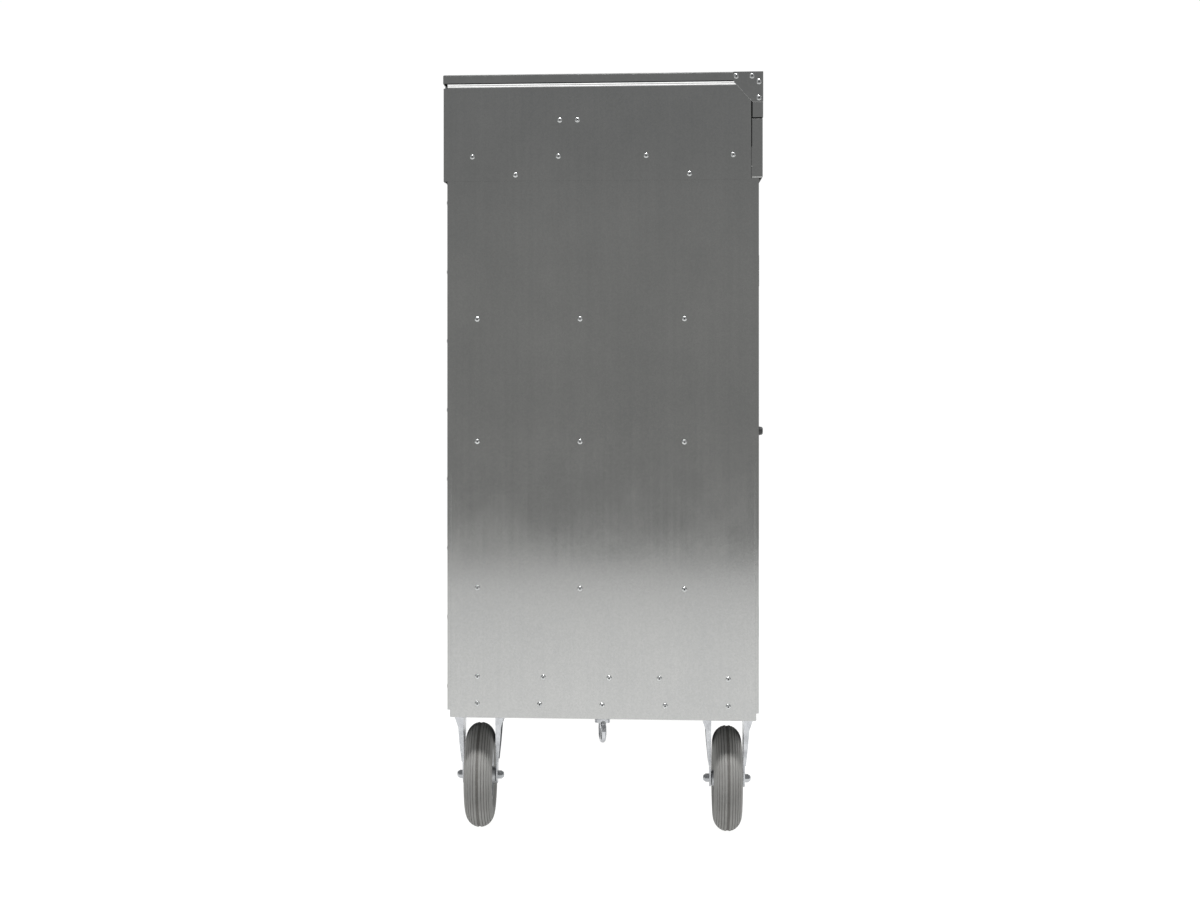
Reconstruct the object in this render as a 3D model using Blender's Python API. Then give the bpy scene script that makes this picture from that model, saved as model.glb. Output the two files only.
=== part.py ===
"""Rolling tool chest: a sheet-steel cabinet on castors, with a lidded compartment on top.

Metres, +Z up. The origin is on the floor under the middle of the chest. X runs along the
chest, the doors face -Y, the fixed castors are at -X and the swivel castors at +X.
"""

import math

import bmesh
import bpy
from mathutils import Matrix, Vector

# --- Overall sizes ----------------------------------------------------------------------
LENGTH = 2.000            # X, over the lid's corner gussets
DEPTH = 0.780             # Y, over the lid
HEIGHT = 1.871            # floor to the lid's top

# --- Sheet metal and fits ---------------------------------------------------------------
SHEET = 0.0015            # body, hood, lid and door sheet
BEND = 0.003              # outer radius of a single bend
PAN_BEND = 0.0025         # outer radius of a pan's bends
FIT = 0.0003              # gap between pieces that touch
RUNNING = 0.0003          # radial gap round a pin or a spindle
DOOR_GAP = 0.004          # gap round a door

# --- Lid and hood -----------------------------------------------------------------------
GUSSET_SHEET = 0.0015
LID_FLANGE = 0.021        # depth of the lid's side and back flanges
LID_APRON = 0.111         # depth of the lid's front apron
LID_OVER_HOOD = 0.001     # lid beyond the hood, on each side
HOOD_TOP_DROP = 0.032     # lid top to the hood's rim
HOOD_HEIGHT = 0.229
HOOD_OVER_BODY = 0.009    # hood beyond the cabinet, front and back
CORNER_RETURN = 0.0255    # side return of the apron and of the hood's front panel
APRON_GAP = 0.002         # apron to the hood's front panel
RIM_FLANGE = 0.0122       # hood rim, folded inwards
RIM_UPSTAND = 0.016       # rain upstand on that fold
TRAY_FLANGE = 0.050
TRAY_LIFT = 0.030         # hood foot to the top tray's underside
GUSSET_ALONG = 0.072      # gusset length along the lid's edge
GUSSET_DOWN = 0.074       # gusset length down the apron
LID_KNUCKLE = 0.004       # outer radius of the lid hinge's knuckles
LID_KNUCKLES = 9
LID_HINGE_PIN = 0.002
LID_HINGE_INSET = 0.035   # hood's end to the lid hinge's end

# --- Cabinet ----------------------------------------------------------------------------
POST_RETURN = 0.040       # end panels folded round to the front and the back
PAN_INSET = 0.006         # floor pan inside the end panel's side edges
PAN_RIM = 0.019           # pan rim that shows below the end panels
PAN_FLANGE = 0.051
INNER_FLOOR_LIFT = 0.116  # pan's underside to the inner floor
INNER_FLOOR_FLANGE = 0.030
SHELF_HEIGHTS = (0.613, 0.972, 1.272)   # middle of each pair of shelf rails
SHELF_SETBACK = 0.135     # cabinet front to the shelves' front edge
SHELF_BACK_GAP = 0.030
SHELF_FLANGE = 0.030
SHELF_HEM = 0.012         # flange's edge folded under
SHELF_END_GAP = 0.002     # shelf end to the end panel
RAIL_LEG = 0.025
RAIL_END = 0.020          # shelf edge to the end of its rail

# --- Doors ------------------------------------------------------------------------------
DOOR_THICK = 0.025
DOOR_SETBACK = 0.0015     # door face behind the posts' faces
KNUCKLE_RADIUS = 0.0035
KNUCKLE_HEIGHT = 0.076
HINGE_PIN = 0.0018
LOW_HINGE_LIFT = 0.213    # door foot to the middle of its lower hinge
HIGH_HINGE_DROP = 0.219   # door top to the middle of its upper hinge
HINGE_LEAF = 0.030
HANDLE_X = 0.095          # handle's spindle from the doors' meeting line
HANDLE_Z = 1.000
DISH_RADIUS = 0.060
DISH_DEPTH = 0.020
SPINDLE_RADIUS = 0.006
GRIP_HALF = 0.050         # half the lever's length
GRIP_HIGH = 0.022
GRIP_FACE = 0.017         # dish floor to the lever's face
GRIP_BACK = 0.005         # dish floor to the lever's back
HUB_RADIUS = 0.016
CAM_RADIUS = 0.040
CAM_THICK = 0.003
CAM_INNER = 0.015         # lock rod pin from the spindle, unlocked
LOCK_TRAVEL = 0.018
ROD_WIDTH = 0.014
ROD_THICK = 0.005
ROD_PIN = 0.0025

# --- Lid prop ---------------------------------------------------------------------------
PROP_Y = 0.082            # pivot of the prop
PROP_BELOW_RIM = 0.081
PROP_LENGTH = 0.430
PROP_RADIUS = 0.004
PROP_STANDOFF = 0.0195    # cheek's inner face to the prop's centre line
PROP_STUD = 0.005
PROP_COLLAR = 0.009
PROP_EYE = 0.011
PROP_EYE_HALF = 0.005     # half the eye's thickness
PROP_FOOT_HALF = 0.034    # half the bracket's length
PROP_FOOT_HIGH = 0.024

# --- Castors ----------------------------------------------------------------------------
WHEEL_DIAMETER = 0.260
TYRE_WIDTH = 0.072
RIM_DIAMETER = 0.140
CASTOR_HEAD = 0.034       # tyre to the plate's upper face
CASTOR_INSET_X = 0.132    # cabinet end to the wheel centre
CASTOR_INSET_Y = 0.072    # cabinet side to the wheel centre
FORK_SHEET = 0.004
FORK_SIDE_GAP = 0.004     # tyre to a fork leg
PLATE_Y = 0.135
PLATE_X = 0.110
AXLE_RADIUS = 0.006
AXLE_OVER_FORK = 0.0155   # bolt head and nut beyond the legs
TRAIL = 0.055             # swivel axis to the wheel centre
BOSS_RADIUS = 0.030
KING_PIN = 0.008
PEDAL_WIDTH = 0.050
PEDAL_PIN = 0.003
PEDAL_LENGTH = 0.105
LEG_FOOT = 0.022          # radius of a fork leg's foot round the axle
HEX_RADIUS = 0.011        # bolt heads and nuts on the axles, over the corners
HEX_THICK = 0.009
CAP_RADIUS = 0.0085

# --- Lashing eye ------------------------------------------------------------------------
EYE_INSET = 0.030         # cabinet end to the eye's shank
EYE_OUTER = 0.0315
EYE_WIRE = 0.007
EYE_HEIGHT = 0.062
EYE_COLLAR = 0.019
EYE_SHANK = 0.008
EYE_TURN = math.radians(8.0)

# --- Places worked out from the sizes ---------------------------------------------------
LID_X = LENGTH / 2 - GUSSET_SHEET - FIT
LID_Y = DEPTH / 2
HOOD_X = LID_X - LID_OVER_HOOD
HOOD_Y = LID_Y - LID_OVER_HOOD
BODY_X = HOOD_X - SHEET - FIT
BODY_Y = HOOD_Y - HOOD_OVER_BODY
LID_RIM = HEIGHT - LID_FLANGE
HOOD_TOP = HEIGHT - HOOD_TOP_DROP
HOOD_FOOT = HOOD_TOP - HOOD_HEIGHT
TRAY_Z = HOOD_FOOT + TRAY_LIFT
APRON_FOOT = HEIGHT - LID_APRON
FRONT_PANEL_TOP = APRON_FOOT - APRON_GAP
PAN_Z = WHEEL_DIAMETER + CASTOR_HEAD
PANEL_FOOT = PAN_Z + PAN_RIM
PAN_X = BODY_X - SHEET - FIT
PAN_Y = BODY_Y - PAN_INSET
DOOR_FOOT = PANEL_FOOT + DOOR_GAP
DOOR_TOP = HOOD_FOOT - DOOR_GAP / 4
DOOR_FACE = -BODY_Y + DOOR_SETBACK
HINGE_HEIGHTS = (DOOR_FOOT + LOW_HINGE_LIFT, DOOR_TOP - HIGH_HINGE_DROP)
HINGE_X = BODY_X - POST_RETURN - KNUCKLE_RADIUS - FIT
HINGE_Y = DOOR_FACE - 0.001
DOOR_SIDE = HINGE_X - DOOR_GAP
WHEEL_X = BODY_X - CASTOR_INSET_X
WHEEL_Y = BODY_Y - CASTOR_INSET_Y
AXLE_Z = WHEEL_DIAMETER / 2
EYE_X = -(BODY_X - EYE_INSET)
LEG_INNER = TYRE_WIDTH / 2 + FORK_SIDE_GAP
LID_HINGE_Y = LID_Y - SHEET - 0.004
LID_HINGE_Z = (HOOD_TOP + LID_RIM) / 2
LID_HINGE_REACH = HOOD_X - LID_HINGE_INSET
ROD_Y = DOOR_FACE + DOOR_THICK + 0.003 + ROD_THICK / 2

MATERIALS = {
    "galvanised": ((0.55, 0.56, 0.55), 0.32, 1.0),
    "zinc_plate": ((0.66, 0.67, 0.68), 0.25, 1.0),
    "grey_tyre": ((0.32, 0.32, 0.31), 0.75, 0.0),
    "rim": ((0.60, 0.61, 0.62), 0.35, 0.8),
    "handle_black": ((0.03, 0.03, 0.03), 0.45, 0.0),
    "pedal_red": ((0.45, 0.05, 0.04), 0.45, 0.0),
}


def clear_scene():
    for thing in list(bpy.data.objects):
        bpy.data.objects.remove(thing, do_unlink=True)


def material(name):
    found = bpy.data.materials.get(name)
    if found:
        return found
    colour, roughness, metallic = MATERIALS[name]
    made = bpy.data.materials.new(name)
    made.use_nodes = True
    shader = made.node_tree.nodes["Principled BSDF"]
    shader.inputs["Base Color"].default_value = (*colour, 1.0)
    shader.inputs["Roughness"].default_value = roughness
    shader.inputs["Metallic"].default_value = metallic
    return made


# --- Solids as bmesh --------------------------------------------------------------------
def box(low, high):
    """A box between two corners."""
    bm = bmesh.new()
    size = [abs(b - a) for a, b in zip(low, high)]
    middle = [(a + b) / 2 for a, b in zip(low, high)]
    bmesh.ops.create_cube(bm, size=1.0)
    bmesh.ops.scale(bm, verts=bm.verts, vec=size)
    bmesh.ops.translate(bm, verts=bm.verts, vec=middle)
    return bm


def place(bm, matrix):
    bmesh.ops.transform(bm, matrix=matrix, verts=bm.verts)
    return bm


AXIS_MAPS = {
    "X": lambda a, b, along: (along, a, b),
    "Y": lambda a, b, along: (a, along, b),
    "Z": lambda a, b, along: (a, b, along),
}


def prism(outline, axis, start, end):
    """A flat outline pushed along an axis. The outline's pairs are the other two axes, in order."""
    bm = bmesh.new()
    put = AXIS_MAPS[axis]
    base = bm.faces.new([bm.verts.new(put(a, b, start)) for a, b in outline])
    pushed = bmesh.ops.extrude_face_region(bm, geom=[base])
    moved = [v for v in pushed["geom"] if isinstance(v, bmesh.types.BMVert)]
    bmesh.ops.translate(bm, verts=moved, vec=put(0, 0, end - start))
    bmesh.ops.recalc_face_normals(bm, faces=bm.faces)
    return bm


def folded(path, axis, start, end, sheet=SHEET, radius=BEND, steps=3):
    """Sheet folded along a path of its outer face, bent at each corner, pushed along an axis.

    The sheet lies to the left of the path, and each bend's outer radius is the given one.
    """
    outer, inner = [], []
    points = [Vector(p) for p in path]
    for i, point in enumerate(points):
        before = (point - points[i - 1]).normalized() if i else None
        after = (points[i + 1] - point).normalized() if i < len(points) - 1 else None
        if before is None or after is None:
            run = after or before
            normal = Vector((-run.y, run.x))
            outer.append(point)
            inner.append(point + normal * sheet)
            continue
        turn = before.x * after.y - before.y * after.x
        side = 1.0 if turn > 0 else -1.0
        big = radius if side > 0 else radius - sheet
        angle = math.acos(max(-1.0, min(1.0, before.dot(after))))
        reach = big * math.tan(angle / 2)
        first = point - before * reach
        centre = first + Vector((-before.y, before.x)) * big * side
        spoke = first - centre
        for step in range(steps + 1):
            turned = spoke.copy()
            turned.rotate(Matrix.Rotation(side * angle * step / steps, 2))
            unit = turned.normalized()
            outer.append(centre + unit * big)
            inner.append(centre + unit * (big - side * sheet))
    return prism([tuple(p) for p in outer + inner[::-1]], axis, start, end)


TURN_MAPS = {
    "X": lambda r, a, h: (h, r * math.cos(a), r * math.sin(a)),
    "Y": lambda r, a, h: (r * math.cos(a), h, r * math.sin(a)),
    "Z": lambda r, a, h: (r * math.cos(a), r * math.sin(a), h),
}


def turned(profile, centre, axis="Y", steps=32):
    """A closed profile of (radius, along) points turned round an axis through centre."""
    bm = bmesh.new()
    put = TURN_MAPS[axis]
    rings = []
    for radius, along in profile:
        if radius < 1e-7:
            rings.append([bm.verts.new(put(0.0, 0.0, along))] * steps)
            continue
        rings.append([bm.verts.new(put(radius, 2 * math.pi * k / steps, along)) for k in range(steps)])
    for i, ring in enumerate(rings):
        following = rings[(i + 1) % len(rings)]
        for k in range(steps):
            corners = [ring[k], ring[(k + 1) % steps], following[(k + 1) % steps], following[k]]
            unique = list(dict.fromkeys(corners))
            if len(unique) > 2:
                bm.faces.new(unique)
    bmesh.ops.recalc_face_normals(bm, faces=bm.faces)
    bmesh.ops.translate(bm, verts=bm.verts, vec=centre)
    return bm


def disc(radius, centre, start, end, axis="Y", steps=24):
    """A plain round bar along an axis, from start to end of that axis."""
    profile = [(0.0, start), (radius, start), (radius, end), (0.0, end)]
    spot = list(centre)
    spot["XYZ".index(axis)] = 0.0
    return turned_open(profile, spot, axis, steps)


def turned_open(profile, centre, axis, steps):
    """As turned, for a profile whose first and last points lie on the axis."""
    bm = bmesh.new()
    put = TURN_MAPS[axis]
    rings = [
        [bm.verts.new(put(radius, 2 * math.pi * k / steps, along)) for k in range(steps)]
        for radius, along in profile[1:-1]
    ]
    for ring, following in zip(rings, rings[1:]):
        for k in range(steps):
            after = (k + 1) % steps
            bm.faces.new([ring[k], ring[after], following[after], following[k]])
    for ring, (_, along) in ((rings[0], profile[0]), (rings[-1], profile[-1])):
        if abs(along - profile[1 if ring is rings[0] else -2][1]) < 1e-7:
            bm.faces.new(ring)
            continue
        tip = bm.verts.new(put(0.0, 0.0, along))
        for k in range(steps):
            bm.faces.new([ring[k], ring[(k + 1) % steps], tip])
    bmesh.ops.recalc_face_normals(bm, faces=bm.faces)
    bmesh.ops.translate(bm, verts=bm.verts, vec=centre)
    return bm


def helper(bm):
    mesh = bpy.data.meshes.new("helper")
    bm.to_mesh(mesh)
    bm.free()
    made = bpy.data.objects.new("helper", mesh)
    bpy.context.scene.collection.objects.link(made)
    return made


def boolean(first, others, operation):
    """One solid from several, joined or cut with the exact solver."""
    base = helper(first)
    tools = [helper(other) for other in others]
    for tool in tools:
        tool.hide_render = True
        tool.display_type = "WIRE"
        step = base.modifiers.new("step", "BOOLEAN")
        step.operation = operation
        step.solver = "EXACT"
        step.object = tool
    graph = bpy.context.evaluated_depsgraph_get()
    mesh = bpy.data.meshes.new_from_object(base.evaluated_get(graph))
    result = bmesh.new()
    result.from_mesh(mesh)
    for used in [base, *tools]:
        bpy.data.objects.remove(used, do_unlink=True)
    bpy.data.meshes.remove(mesh)
    bmesh.ops.remove_doubles(result, verts=result.verts, dist=1e-6)
    return result


def joined(first, *others):
    return boolean(first, others, "UNION")


def cut(first, *others):
    return boolean(first, others, "DIFFERENCE")


def pivot(name, position, parent=None):
    """An empty on a joint's axis, which carries the pieces that move with it."""
    made = bpy.data.objects.new(name, None)
    made.empty_display_size = 0.05
    bpy.context.scene.collection.objects.link(made)
    made.parent = parent
    made.location = Vector(position) - (Vector(parent["place"]) if parent else Vector())
    made["place"] = Vector(position)
    return made


def node(name, bm, finish, carrier=None, smooth=35.0):
    """A finished piece, with its origin on its carrier's joint axis."""
    place_of = Vector(carrier["place"]) if carrier else Vector()
    bmesh.ops.translate(bm, verts=bm.verts, vec=-place_of)
    mesh = bpy.data.meshes.new(name)
    bm.to_mesh(mesh)
    bm.free()
    mesh.shade_smooth()
    mesh.set_sharp_from_angle(angle=math.radians(smooth))
    mesh.materials.append(material(finish))
    made = bpy.data.objects.new(name, mesh)
    bpy.context.scene.collection.objects.link(made)
    made.parent = carrier
    return made


# --- Cabinet ----------------------------------------------------------------------------
def floor_pan():
    """Floor sheet with upturned flanges. The front flange is low and turns in under the doors."""
    outer = box((-PAN_X, -PAN_Y, PAN_Z), (PAN_X, PAN_Y, PAN_Z + PAN_FLANGE))
    hollow = box(
        (-PAN_X + SHEET, -PAN_Y + SHEET, PAN_Z + SHEET),
        (PAN_X - SHEET, PAN_Y - SHEET, PAN_Z + 2 * PAN_FLANGE),
    )
    front = box(
        (-PAN_X - SHEET, -PAN_Y - SHEET, PAN_Z + PAN_RIM),
        (PAN_X + SHEET, -PAN_Y + DOOR_THICK + ROD_THICK + 0.004, PAN_Z + 2 * PAN_FLANGE),
    )
    lip = box(
        (-PAN_X + SHEET / 2, -PAN_Y + SHEET / 2, PAN_Z + PAN_RIM - SHEET),
        (PAN_X - SHEET / 2, ROD_Y + 0.012, PAN_Z + PAN_RIM - FIT),
    )
    shell = cut(soften(outer), hollow, front)
    eye_hole = disc(EYE_SHANK + FIT, (EYE_X, 0.0, 0.0), PAN_Z - 0.01, PAN_Z + 0.01, "Z", 20)
    return cut(joined(shell, lip), lock_hole(PAN_Z + PAN_RIM), eye_hole)


def soften(bm, radius=PAN_BEND, steps=2):
    """Rounds a box's folded edges."""
    bmesh.ops.bevel(
        bm, geom=bm.edges[:], offset=radius, segments=steps, affect="EDGES", profile=0.5
    )
    return bm


def lock_hole(height):
    """The hole that a lock rod's end enters."""
    half = ROD_WIDTH / 2 + 0.002
    deep = ROD_THICK / 2 + 0.002
    return box(
        (HANDLE_X - half, ROD_Y - deep, height - 0.010),
        (HANDLE_X + half, ROD_Y + deep, height + 0.010),
    )


def inner_floor():
    """Floor of the tool space, a tray upside down over the pan."""
    top = PAN_Z + INNER_FLOOR_LIFT
    x = PAN_X - FIT
    front = ROD_Y + ROD_THICK / 2 + 0.0025
    back = BODY_Y - 2 * SHEET - 2 * FIT
    outer = box((-x, front, top - INNER_FLOOR_FLANGE), (x, back, top))
    hollow = box(
        (-x + SHEET, front + SHEET, top - 2 * INNER_FLOOR_FLANGE),
        (x - SHEET, back - SHEET, top - SHEET),
    )
    return cut(soften(outer), hollow)


def end_panel(side):
    """End wall, folded round to the front and the back as door post and rear post."""
    inner = BODY_X - POST_RETURN
    path = [(inner, -BODY_Y), (BODY_X, -BODY_Y), (BODY_X, BODY_Y), (inner, BODY_Y)]
    wall = folded(path, "Z", PANEL_FOOT, TRAY_Z - FIT)
    return mirrored(wall) if side < 0 else wall


def mirrored(bm):
    """The same solid on the chest's other end."""
    place(bm, Matrix.Scale(-1, 4, (1, 0, 0)))
    bmesh.ops.reverse_faces(bm, faces=bm.faces)
    return bm


def back_panel():
    y = BODY_Y - SHEET - FIT
    x = BODY_X - SHEET - BEND
    return box((-x, y - SHEET, PANEL_FOOT), (x, y, TRAY_Z - FIT))


def door_header():
    """Rail over the doors. Its lower flange takes the upper lock rod."""
    foot = HOOD_FOOT + 0.002
    top = TRAY_Z - FIT
    face = -BODY_Y + SHEET + FIT
    inner = ROD_Y + 0.012
    path = [(inner, top), (face, top), (face, foot), (inner, foot)]
    x = BODY_X - SHEET - FIT - BEND
    rail = folded(path, "X", -x, x)
    return cut(rail, lock_hole(foot))


def top_tray():
    """Floor of the lidded compartment, with flanges up inside the hood."""
    x = HOOD_X - SHEET - FIT
    front = -HOOD_Y + SHEET + FIT
    back = HOOD_Y - 2 * SHEET - 2 * FIT
    outer = box((-x, front, TRAY_Z), (x, back, TRAY_Z + TRAY_FLANGE))
    hollow = box(
        (-x + SHEET, front + SHEET, TRAY_Z + SHEET),
        (x - SHEET, back - SHEET, TRAY_Z + 2 * TRAY_FLANGE),
    )
    return cut(soften(outer), hollow)


def shelf_rail(side, middle):
    """Angle riveted to the end panel. The shelf rests on its upper leg."""
    wall = BODY_X - SHEET - FIT
    low, high = middle - RAIL_LEG / 2, middle + RAIL_LEG / 2
    path = [(wall, low), (wall, high), (wall - RAIL_LEG, high)]
    front, back = shelf_edges()
    rail = folded(path, "Y", front + RAIL_END, back - RAIL_END)
    return mirrored(rail) if side < 0 else rail


def shelf_edges():
    return -BODY_Y + SHELF_SETBACK, BODY_Y - SHELF_BACK_GAP


def shelf(middle):
    front, back = shelf_edges()
    top = middle + RAIL_LEG / 2 + FIT + SHEET
    hem = top - SHELF_FLANGE
    front_edge = [(front + SHELF_HEM, hem), (front, hem), (front, top)]
    path = front_edge + [(back, top), (back, hem), (back - SHELF_HEM, hem)]
    x = BODY_X - SHEET - SHELF_END_GAP
    return folded(path[::-1], "X", -x, x)


# --- Hood -------------------------------------------------------------------------------
def hood_cheek(side):
    """End band of the hood, with the rim folded in and up under the lid."""
    front = -HOOD_Y + CORNER_RETURN + 0.001
    path = [
        (HOOD_X - 0.014, front),
        (HOOD_X, front),
        (HOOD_X, HOOD_Y),
        (HOOD_X - POST_RETURN, HOOD_Y),
    ]
    band = folded(path, "Z", HOOD_FOOT, HOOD_TOP - SHEET / 2)
    rim = [
        (HOOD_X - SHEET / 4, HOOD_TOP),
        (HOOD_X - RIM_FLANGE - SHEET, HOOD_TOP),
        (HOOD_X - RIM_FLANGE - SHEET, HOOD_TOP + RIM_UPSTAND),
    ]
    fold = folded(rim, "Y", front + BEND, HOOD_Y - RIM_FLANGE - BEND, radius=0.002)
    clear_of_tray = box(
        (0.0, front - BEND, 0.0),
        (HOOD_X - SHEET + 0.0001, front + 2 * BEND, TRAY_Z + TRAY_FLANGE + 0.001),
    )
    whole = cut(joined(band, fold), clear_of_tray)
    return mirrored(whole) if side < 0 else whole


def hood_back_panel():
    face = HOOD_Y - SHEET - FIT
    path = [
        (face, HOOD_FOOT),
        (face, HOOD_TOP),
        (face - RIM_FLANGE - SHEET, HOOD_TOP),
        (face - RIM_FLANGE - SHEET, HOOD_TOP + RIM_UPSTAND),
    ]
    x = HOOD_X - RIM_FLANGE - 2 * SHEET - FIT - 0.002
    return folded(path, "X", -x, x, radius=0.002)


def hood_front_panel():
    """Front band below the lid's apron, with a narrow return on each end and a hem on top."""
    foot = HOOD_FOOT + 0.0035
    outer = box((-HOOD_X, -HOOD_Y, foot), (HOOD_X, -HOOD_Y + 2 * CORNER_RETURN, FRONT_PANEL_TOP))
    hollow = box(
        (-HOOD_X + SHEET, -HOOD_Y + SHEET, foot - CORNER_RETURN),
        (HOOD_X - SHEET, -HOOD_Y + 3 * CORNER_RETURN, FRONT_PANEL_TOP - SHEET),
    )
    behind = box(
        (-LENGTH, -HOOD_Y + CORNER_RETURN, 0.0),
        (LENGTH, DEPTH, HEIGHT),
    )
    return cut(soften(outer), hollow, behind)


# --- Lid --------------------------------------------------------------------------------
def lid_panel():
    """Lid sheet with side and back flanges and a deep front apron."""
    deep = 2 * LID_APRON
    outer = box((-LID_X, -LID_Y, HEIGHT - deep), (LID_X, LID_Y, HEIGHT))
    hollow = box(
        (-LID_X + SHEET, -LID_Y + SHEET, HEIGHT - 2 * deep),
        (LID_X - SHEET, LID_Y - SHEET, HEIGHT - SHEET),
    )
    below = box((-LENGTH, -DEPTH, 0.0), (LENGTH, DEPTH, APRON_FOOT))
    notch = box((-LENGTH, -LID_Y + CORNER_RETURN, 0.0), (LENGTH, DEPTH, LID_RIM))
    return cut(soften(outer), hollow, below, notch)


def lid_gusset(side):
    """Corner plate riveted over the lid flange and the apron's return."""
    front = -LID_Y
    outline = [
        (front, HEIGHT),
        (front, HEIGHT - GUSSET_DOWN),
        (front + CORNER_RETURN, HEIGHT - GUSSET_DOWN),
        (front + GUSSET_ALONG - 0.004, HEIGHT - LID_FLANGE - 0.007),
        (front + GUSSET_ALONG, HEIGHT - LID_FLANGE - 0.001),
        (front + GUSSET_ALONG, HEIGHT),
    ]
    plate = prism(outline, "X", LID_X + FIT, LID_X + FIT + GUSSET_SHEET)
    bmesh.ops.bevel(
        plate, geom=plate.edges[:], offset=GUSSET_SHEET / 5, segments=1, affect="EDGES"
    )
    return mirrored(plate) if side < 0 else plate


def lid_knuckles(first):
    """Spans of the lid hinge's knuckles, every second one, counted from the first or the next."""
    pitch = 2 * LID_HINGE_REACH / LID_KNUCKLES
    starts = [pitch * k - LID_HINGE_REACH for k in range(0 if first else 1, LID_KNUCKLES, 2)]
    return [(start + FIT, start + pitch - FIT) for start in starts]


def lid_hinge_base():
    """Hinge leaf on the hood's rim, with its knuckles and the long pin."""
    low = HOOD_TOP + FIT
    leaf_top = LID_HINGE_Z - LID_KNUCKLE + 0.0005
    inner = HOOD_Y - SHEET - FIT - RIM_FLANGE + FIT
    reach = LID_HINGE_REACH
    leaf = box((-reach, inner, low), (reach, LID_HINGE_Y - LID_KNUCKLE - 0.001, leaf_top))
    spot = (0.0, LID_HINGE_Y, LID_HINGE_Z)
    parts = [disc(LID_HINGE_PIN, spot, -reach + 0.001, reach - 0.001, "X", 10)]
    for start, end in lid_knuckles(True):
        parts.append(disc(LID_KNUCKLE, spot, start, end, "X", 12))
        parts.append(box((start, inner + 0.002, low), (end, LID_HINGE_Y, leaf_top)))
    return joined(leaf, *parts)


def lid_hinge_leaf():
    """Hinge leaf on the inside of the lid's back flange."""
    outer = LID_Y - SHEET - FIT
    reach = LID_HINGE_REACH
    low = LID_HINGE_Z + LID_KNUCKLE + 0.0006
    leaf = box((-reach, outer - SHEET, low), (reach, outer, HEIGHT - SHEET - BEND))
    spot = (0.0, LID_HINGE_Y, LID_HINGE_Z)
    parts = []
    bores = []
    for start, end in lid_knuckles(False):
        parts.append(disc(LID_KNUCKLE, spot, start, end, "X", 12))
        parts.append(box((start, outer - SHEET, LID_HINGE_Z), (end, outer, low + 0.002)))
        bores.append(disc(LID_HINGE_PIN + RUNNING, spot, start - 0.01, end + 0.01, "X", 12))
    return cut(joined(leaf, *parts), *bores)


# --- Lid prop ---------------------------------------------------------------------------
def prop_x():
    return HOOD_X - SHEET - PROP_STANDOFF


def prop_z():
    return HOOD_TOP - PROP_BELOW_RIM


def prop_bracket(side):
    """Foot riveted inside the cheek, with a stud that the prop turns on."""
    wall = HOOD_X - SHEET - FIT
    x, z = prop_x(), prop_z()
    foot = box(
        (wall - 0.003, PROP_Y - PROP_FOOT_HALF, z - PROP_FOOT_HIGH / 2),
        (wall, PROP_Y + PROP_FOOT_HALF, z + PROP_FOOT_HIGH / 2),
    )
    bmesh.ops.bevel(foot, geom=foot.edges[:], offset=0.001, segments=1, affect="EDGES")
    spot = (0.0, PROP_Y, z)
    beside = PROP_EYE_HALF + 0.0005
    stud = disc(PROP_STUD, spot, x - 0.007, wall - 0.001, "X", 16)
    collar = disc(PROP_COLLAR, spot, x + beside, wall - 0.001, "X", 16)
    head = disc(PROP_COLLAR, spot, x - 0.009, x - beside, "X", 16)
    whole = joined(foot, stud, collar, head)
    return mirrored(whole) if side < 0 else whole


def prop_rod(side):
    """Round prop with an eye on the stud, lying forwards in the compartment when the lid is shut."""
    x, z = prop_x(), prop_z()
    spot = (0.0, PROP_Y, z)
    eye = disc(PROP_EYE, spot, x - PROP_EYE_HALF, x + PROP_EYE_HALF, "X", 20)
    bore = disc(PROP_STUD + RUNNING, spot, x - 0.01, x + 0.01, "X", 16)
    root = PROP_Y - PROP_EYE + 0.002
    shank = disc(PROP_RADIUS, (x, 0.0, z), PROP_Y - PROP_LENGTH, root, "Y", 14)
    whole = cut(joined(eye, shank), bore)
    return mirrored(whole) if side < 0 else whole


# --- Doors ------------------------------------------------------------------------------
def hinge_pin_half(side, middle):
    """Lower half of a lift-off hinge: leaf inside the post, knuckle and pin."""
    low = middle - KNUCKLE_HEIGHT / 2
    high = middle + KNUCKLE_HEIGHT / 2
    spot = (HINGE_X, HINGE_Y, 0.0)
    behind = -BODY_Y + SHEET + FIT
    edge = BODY_X - POST_RETURN + FIT
    leaf = box((edge, behind, low), (edge + HINGE_LEAF, behind + 0.002, high))
    arm = box((HINGE_X, behind, low), (edge + 0.005, behind + 0.002, middle - 0.001))
    knuckle = disc(KNUCKLE_RADIUS, spot, low, middle - 0.0005, "Z", 16)
    pin = disc(HINGE_PIN, spot, low + 0.002, high - 0.004, "Z", 12)
    whole = joined(leaf, arm, knuckle, pin)
    return mirrored(whole) if side < 0 else whole


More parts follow.
